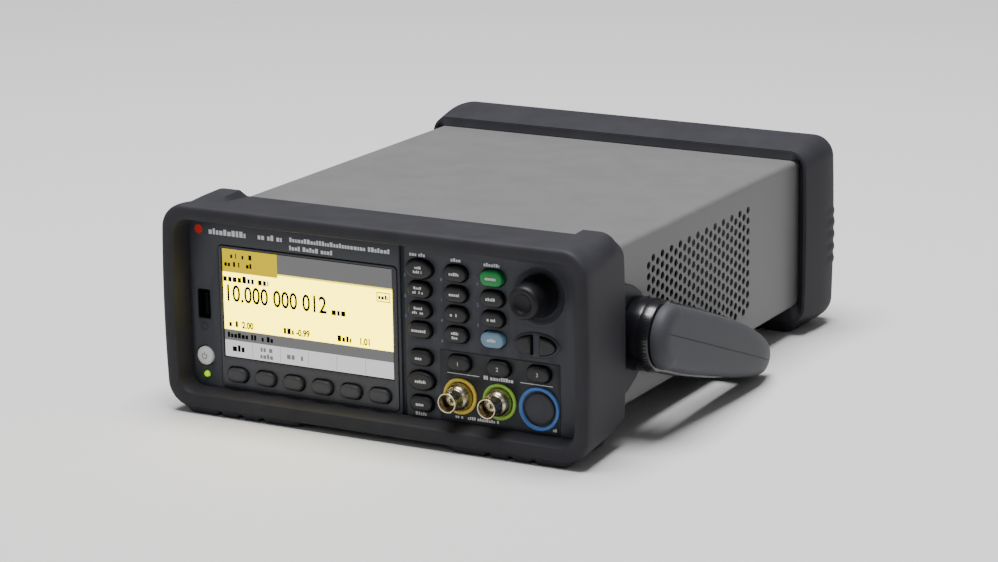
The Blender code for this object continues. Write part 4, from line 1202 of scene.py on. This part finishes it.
def mount_plate(node, side):
    """A pivot plate, slightly drawn in at its outer face."""
    low, high = box_of(node)
    inner, outer = (low.x, high.x) if side > 0 else (high.x, low.x)

    def build(bm):
        rings = []
        for share, inset in ((0.0, 0.0), (0.55, 0.0), (1.0, 0.45)):
            x = inner + (outer - inner) * share
            middle = Vector((x, (low.y + high.y) / 2, (low.z + high.z) / 2))
            edge = [Vector((x, y, z)) for y, z in [(low.y, 5.0)] + MOUNT_EDGE + [(low.y, 61.5)]]
            rings.append([point + (middle - point).normalized() * inset for point in edge])
        loft(bm, rings)
    return build


for side, label in ((1, "right"), (-1, "left")):
    mount = f"handle_mount_{label}"
    piece(f"mount_{label}", mount_plate(mount, side), ["mount"], slot="mount_black", replaces=[mount],
          smooth=30)


# ---------------------------------------------------------------- screws

def screw(bm, centre, axis, radius, height):
    """A low round head with a dished middle, and the four arms of its cross as thin blocks in the shadow
    finish: the recess's shade painted on.
    """
    side = axis.orthogonal().normalized()
    lathe(bm, [(radius, -0.2), (radius, height * 0.3), (radius * 0.86, height * 0.75),
               (radius * 0.6, height), (radius * 0.34, height), (radius * 0.26, height * 0.35),
               (0.0, height * 0.3)], centre, axis, 28)
    other = axis.cross(side)
    for along, across in ((side, other), (other, side)):
        for sign in (-1, 1):
            middle = Vector(centre) + along * sign * radius * 0.42 + axis * (height - 0.02)
            ring = [middle + along * a * radius * 0.20 + across * b * radius * 0.09
                    for a, b in ((-1, -1), (1, -1), (1, 1), (-1, 1))]
            loft(bm, [ring, [p + axis * 0.04 for p in ring]], kinds=[1])


def side_screws(bm):
    for axis, x in ((RIGHT, SLEEVE_HALF), (LEFT, -SLEEVE_HALF)):
        screw(bm, (x, 68.0, 12.0), axis, 1.6, 0.35)


piece("side_screws", side_screws, ["screw", "shadow"], slot="plain_steel")


# ---------------------------------------------------------------- rear

REAR_LOW, REAR_HIGH = box_of("rear_panel")
REAR_FACE = REAR_HIGH.y
FAN = centre_of("fan_frame")
INLET = centre_of("ac_inlet")
LAN_LOW, LAN_HIGH = box_of("lan_socket")
USB_B_LOW, USB_B_HIGH = box_of("usb_b_socket")
REAR_JACK_Z = 60.0
REAR_JACK_X = (-22.0, 0.0, 22.0, 44.0)


def rear_plate(bm):
    plate(bm, around(REAR_LOW, REAR_HIGH, 0.0, 2.0), REAR_LOW.y, REAR_FACE)


def rear_openings(bm):
    low, high = REAR_LOW.y - 2, REAR_FACE + 2
    pitch = 5.4
    for row in range(-5, 6):
        for column in range(-6, 7):
            x = column * pitch + (pitch / 2 if row % 2 else 0.0)
            z = row * pitch * math.sqrt(3) / 2
            if math.hypot(x, z) <= 26.0:
                plate(bm, circle((FAN.x + x, FAN.z + z), 2.2, 18), low, high)
    for x in REAR_JACK_X:
        plate(bm, circle((x, REAR_JACK_Z), 5.2, 32), low, high)
    plate(bm, centred(INLET.x, INLET.z, 14.3, 10.3, 2.0), low, high)
    for socket in ((LAN_LOW, LAN_HIGH), (USB_B_LOW, USB_B_HIGH)):
        plate(bm, around(*socket, 0.4, 0.5, 3), low, high)
    for column in range(8):
        x = 66.0 + column * 3.6
        plate(bm, centred(x, 60.0, 0.9, 10.0, 0.88, 5), low, high)


carved("rear_plate", rear_plate, [("cut", rear_openings), ("bevel", 0.15, 2)], ["rear_paint"],
       slot="plain_steel", replaces=["rear_panel"])


def rear_jacks(bm):
    """Four shorter jacks on one bracket."""
    profile = [(r, max(-9.0, h - REAR_JACK_LOSS if h > 2 else h)) for r, h, _ in JACK_PROFILE]
    lug_height = LUG_HEIGHT - REAR_JACK_LOSS - 0.1
    for x in REAR_JACK_X:
        jack(bm, profile, (x, REAR_FACE + 0.1, REAR_JACK_Z), BACK, lug_height, (48, 16))
    add_box(bm, (REAR_JACK_X[0] - 7, REAR_FACE - 10.8, REAR_JACK_Z - 7),
            (REAR_JACK_X[-1] + 7, REAR_FACE - 7, REAR_JACK_Z + 7))


piece("rear_jacks", rear_jacks, JACK_FINISHES, slot="connector_nickel", replaces=["rear_inputs"], smooth=40)


def inlet_body(bm):
    front = box_of("ac_inlet")[0].y
    face = box_of("ac_inlet")[1].y
    plate(bm, centred(INLET.x, INLET.z, 14.0, 10.0, 2.0), front, face - 3.0)
    loft(bm, [at_depth(centred(INLET.x, INLET.z, 24.0 - g, 11.5 - g, 3.0 - g), y)
              for g, y in ((0.0, face - 3.0), (0.0, face - 0.7), (0.3, face - 0.2), (0.8, face))])


def inlet_hollow(bm):
    face = box_of("ac_inlet")[1].y
    outline = [(-12, -8.2), (12, -8.2), (12, 4.4), (8.2, 8.2), (-8.2, 8.2), (-12, 4.4)]
    plate(bm, [(INLET.x + x, INLET.z + z) for x, z in outline], face - 16.0, face + 2)


def inlet_pins(bm):
    face = box_of("ac_inlet")[1].y
    for x, z in ((-7.0, -3.0), (0.0, 2.2), (7.0, -3.0)):
        loft(bm, [at_depth(centred(INLET.x + x, INLET.z + z, 1.0 - g, 2.0 - g, 0.2, 3), y)
                  for g, y in ((0.0, face - 16.5), (0.0, face - 5.2), (0.35, face - 4.2))])


carved("inlet_body", inlet_body, [("cut", inlet_hollow)], ["black"], slot="black_plastic",
       replaces=["ac_inlet"])
piece("inlet_pins", inlet_pins, ["steel"], slot="connector_steel")


def rear_fasteners(bm):
    for x, z in ((-100.0, 72.0), (100.0, 72.0), (-100.0, 7.0), (100.0, 7.0), (0.0, 73.5), (-20.0, 6.5)):
        screw(bm, (x, REAR_FACE, z), BACK, 2.6, 1.0)
    for sx in (-1, 1):
        for sz in (-1, 1):
            screw(bm, (FAN.x + sx * 25.0, REAR_FACE, FAN.z + sz * 25.0), BACK, 2.4, 1.0)
        screw(bm, (INLET.x + sx * 19.5, box_of("ac_inlet")[1].y, INLET.z), BACK, 2.6, 0.8)
    lathe(bm, [(0.0, 6.4), (1.6, 6.4), (1.9, 6.0), (1.9, 2.0), (4.0, 2.0), (4.0, 1.2), (3.4, 1.0), (3.4, 0.0),
               (0.0, 0.0)], (46.0, REAR_FACE, 12.0), BACK, 24)


piece("rear_fasteners", rear_fasteners, ["screw", "shadow"], slot="plain_steel")


def lan_contacts(bm):
    for i in range(8):
        x = (LAN_LOW.x + LAN_HIGH.x) / 2 + (i - 3.5) * 1.02
        add_box(bm, (x - 0.2, LAN_LOW.y + 3.0, LAN_LOW.z + 3.0), (x + 0.2, LAN_HIGH.y - 6.0, LAN_LOW.z + 3.3))


piece("lan_contacts", lan_contacts, ["gold"], slot="connector_steel")

# CAD nodes whose shape is right keep it and take a procedural finish
KEPT = {
    "dark_steel": ("chassis_tray", "power_supply"),
    "board": ("main_board", "keypad_board"),
    "steel": ("screen_module", "knob_encoder", "lan_socket", "usb_b_socket"),
    "black": ("fan_frame", "fan_rotor")}
for kind, nodes in KEPT.items():
    for node in nodes:
        NODES[node].data.materials.clear()
        NODES[node].data.materials.append(finish(kind))


# ---------------------------------------------------------------- stage, lights and camera

FLOOR_REACH = 30.0
FLOOR_TONE = 0.62


def make_stage():
    material = bpy.data.materials.new("floor")
    material.use_nodes = True
    shader = material.node_tree.nodes["Principled BSDF"]
    shader.inputs["Base Color"].default_value = (FLOOR_TONE, FLOOR_TONE, FLOOR_TONE, 1.0)
    shader.inputs["Roughness"].default_value = 0.85
    mesh = bpy.data.meshes.new("floor")
    corners = [(x * FLOOR_REACH, y * FLOOR_REACH, 0) for x, y in ((-1, -1), (1, -1), (1, 1), (-1, 1))]
    mesh.from_pydata(corners, [], [(0, 1, 2, 3)])
    mesh.materials.append(material)
    floor = bpy.data.objects.new("floor", mesh)
    bpy.context.scene.collection.objects.link(floor)


def area_light(name, place, target, size, power):
    data = bpy.data.lights.new(name, "AREA")
    data.shape = "RECTANGLE"
    data.size, data.size_y = size
    data.energy = power
    lamp = bpy.data.objects.new(name, data)
    lamp.location = place
    lamp.rotation_euler = (Vector(target) - Vector(place)).to_track_quat("-Z", "Y").to_euler()
    bpy.context.scene.collection.objects.link(lamp)


def make_lights():
    backdrop = bpy.data.worlds.new("studio")
    backdrop.use_nodes = True
    backdrop.node_tree.nodes["Background"].inputs["Color"].default_value = (1.0, 1.0, 1.0, 1.0)
    backdrop.node_tree.nodes["Background"].inputs["Strength"].default_value = 0.22
    bpy.context.scene.world = backdrop
    area_light("overhead", (0.0, -0.1, 2.6), (0, 0, 0), (1.5, 1.5), 158.0)
    area_light("front_left", (-1.6, -1.6, 0.9), (0, -0.1, 0.05), (0.9, 0.9), 3.0)
    area_light("right_side", (1.6, -1.2, 1.0), (0.1, 0, 0.05), (0.5, 0.5), 1.0)


CAMERA_AZIMUTH = math.radians(25.83)
CAMERA_ELEVATION = math.radians(14.61)


def make_camera():
    data = bpy.data.cameras.new("camera")
    data.sensor_width = 36.0
    data.lens = 108.36
    data.shift_x = -0.1703
    data.clip_end = 100.0
    camera = bpy.data.objects.new("camera", data)
    camera.location = (0.71465, -1.29976, 0.42973)
    level = math.cos(CAMERA_ELEVATION)
    back = Vector((math.sin(CAMERA_AZIMUTH) * level, -math.cos(CAMERA_AZIMUTH) * level,
                   math.sin(CAMERA_ELEVATION)))
    camera.rotation_euler = (-back).to_track_quat("-Z", "Y").to_euler()
    bpy.context.scene.collection.objects.link(camera)
    bpy.context.scene.camera = camera


make_stage()
make_lights()
make_camera()
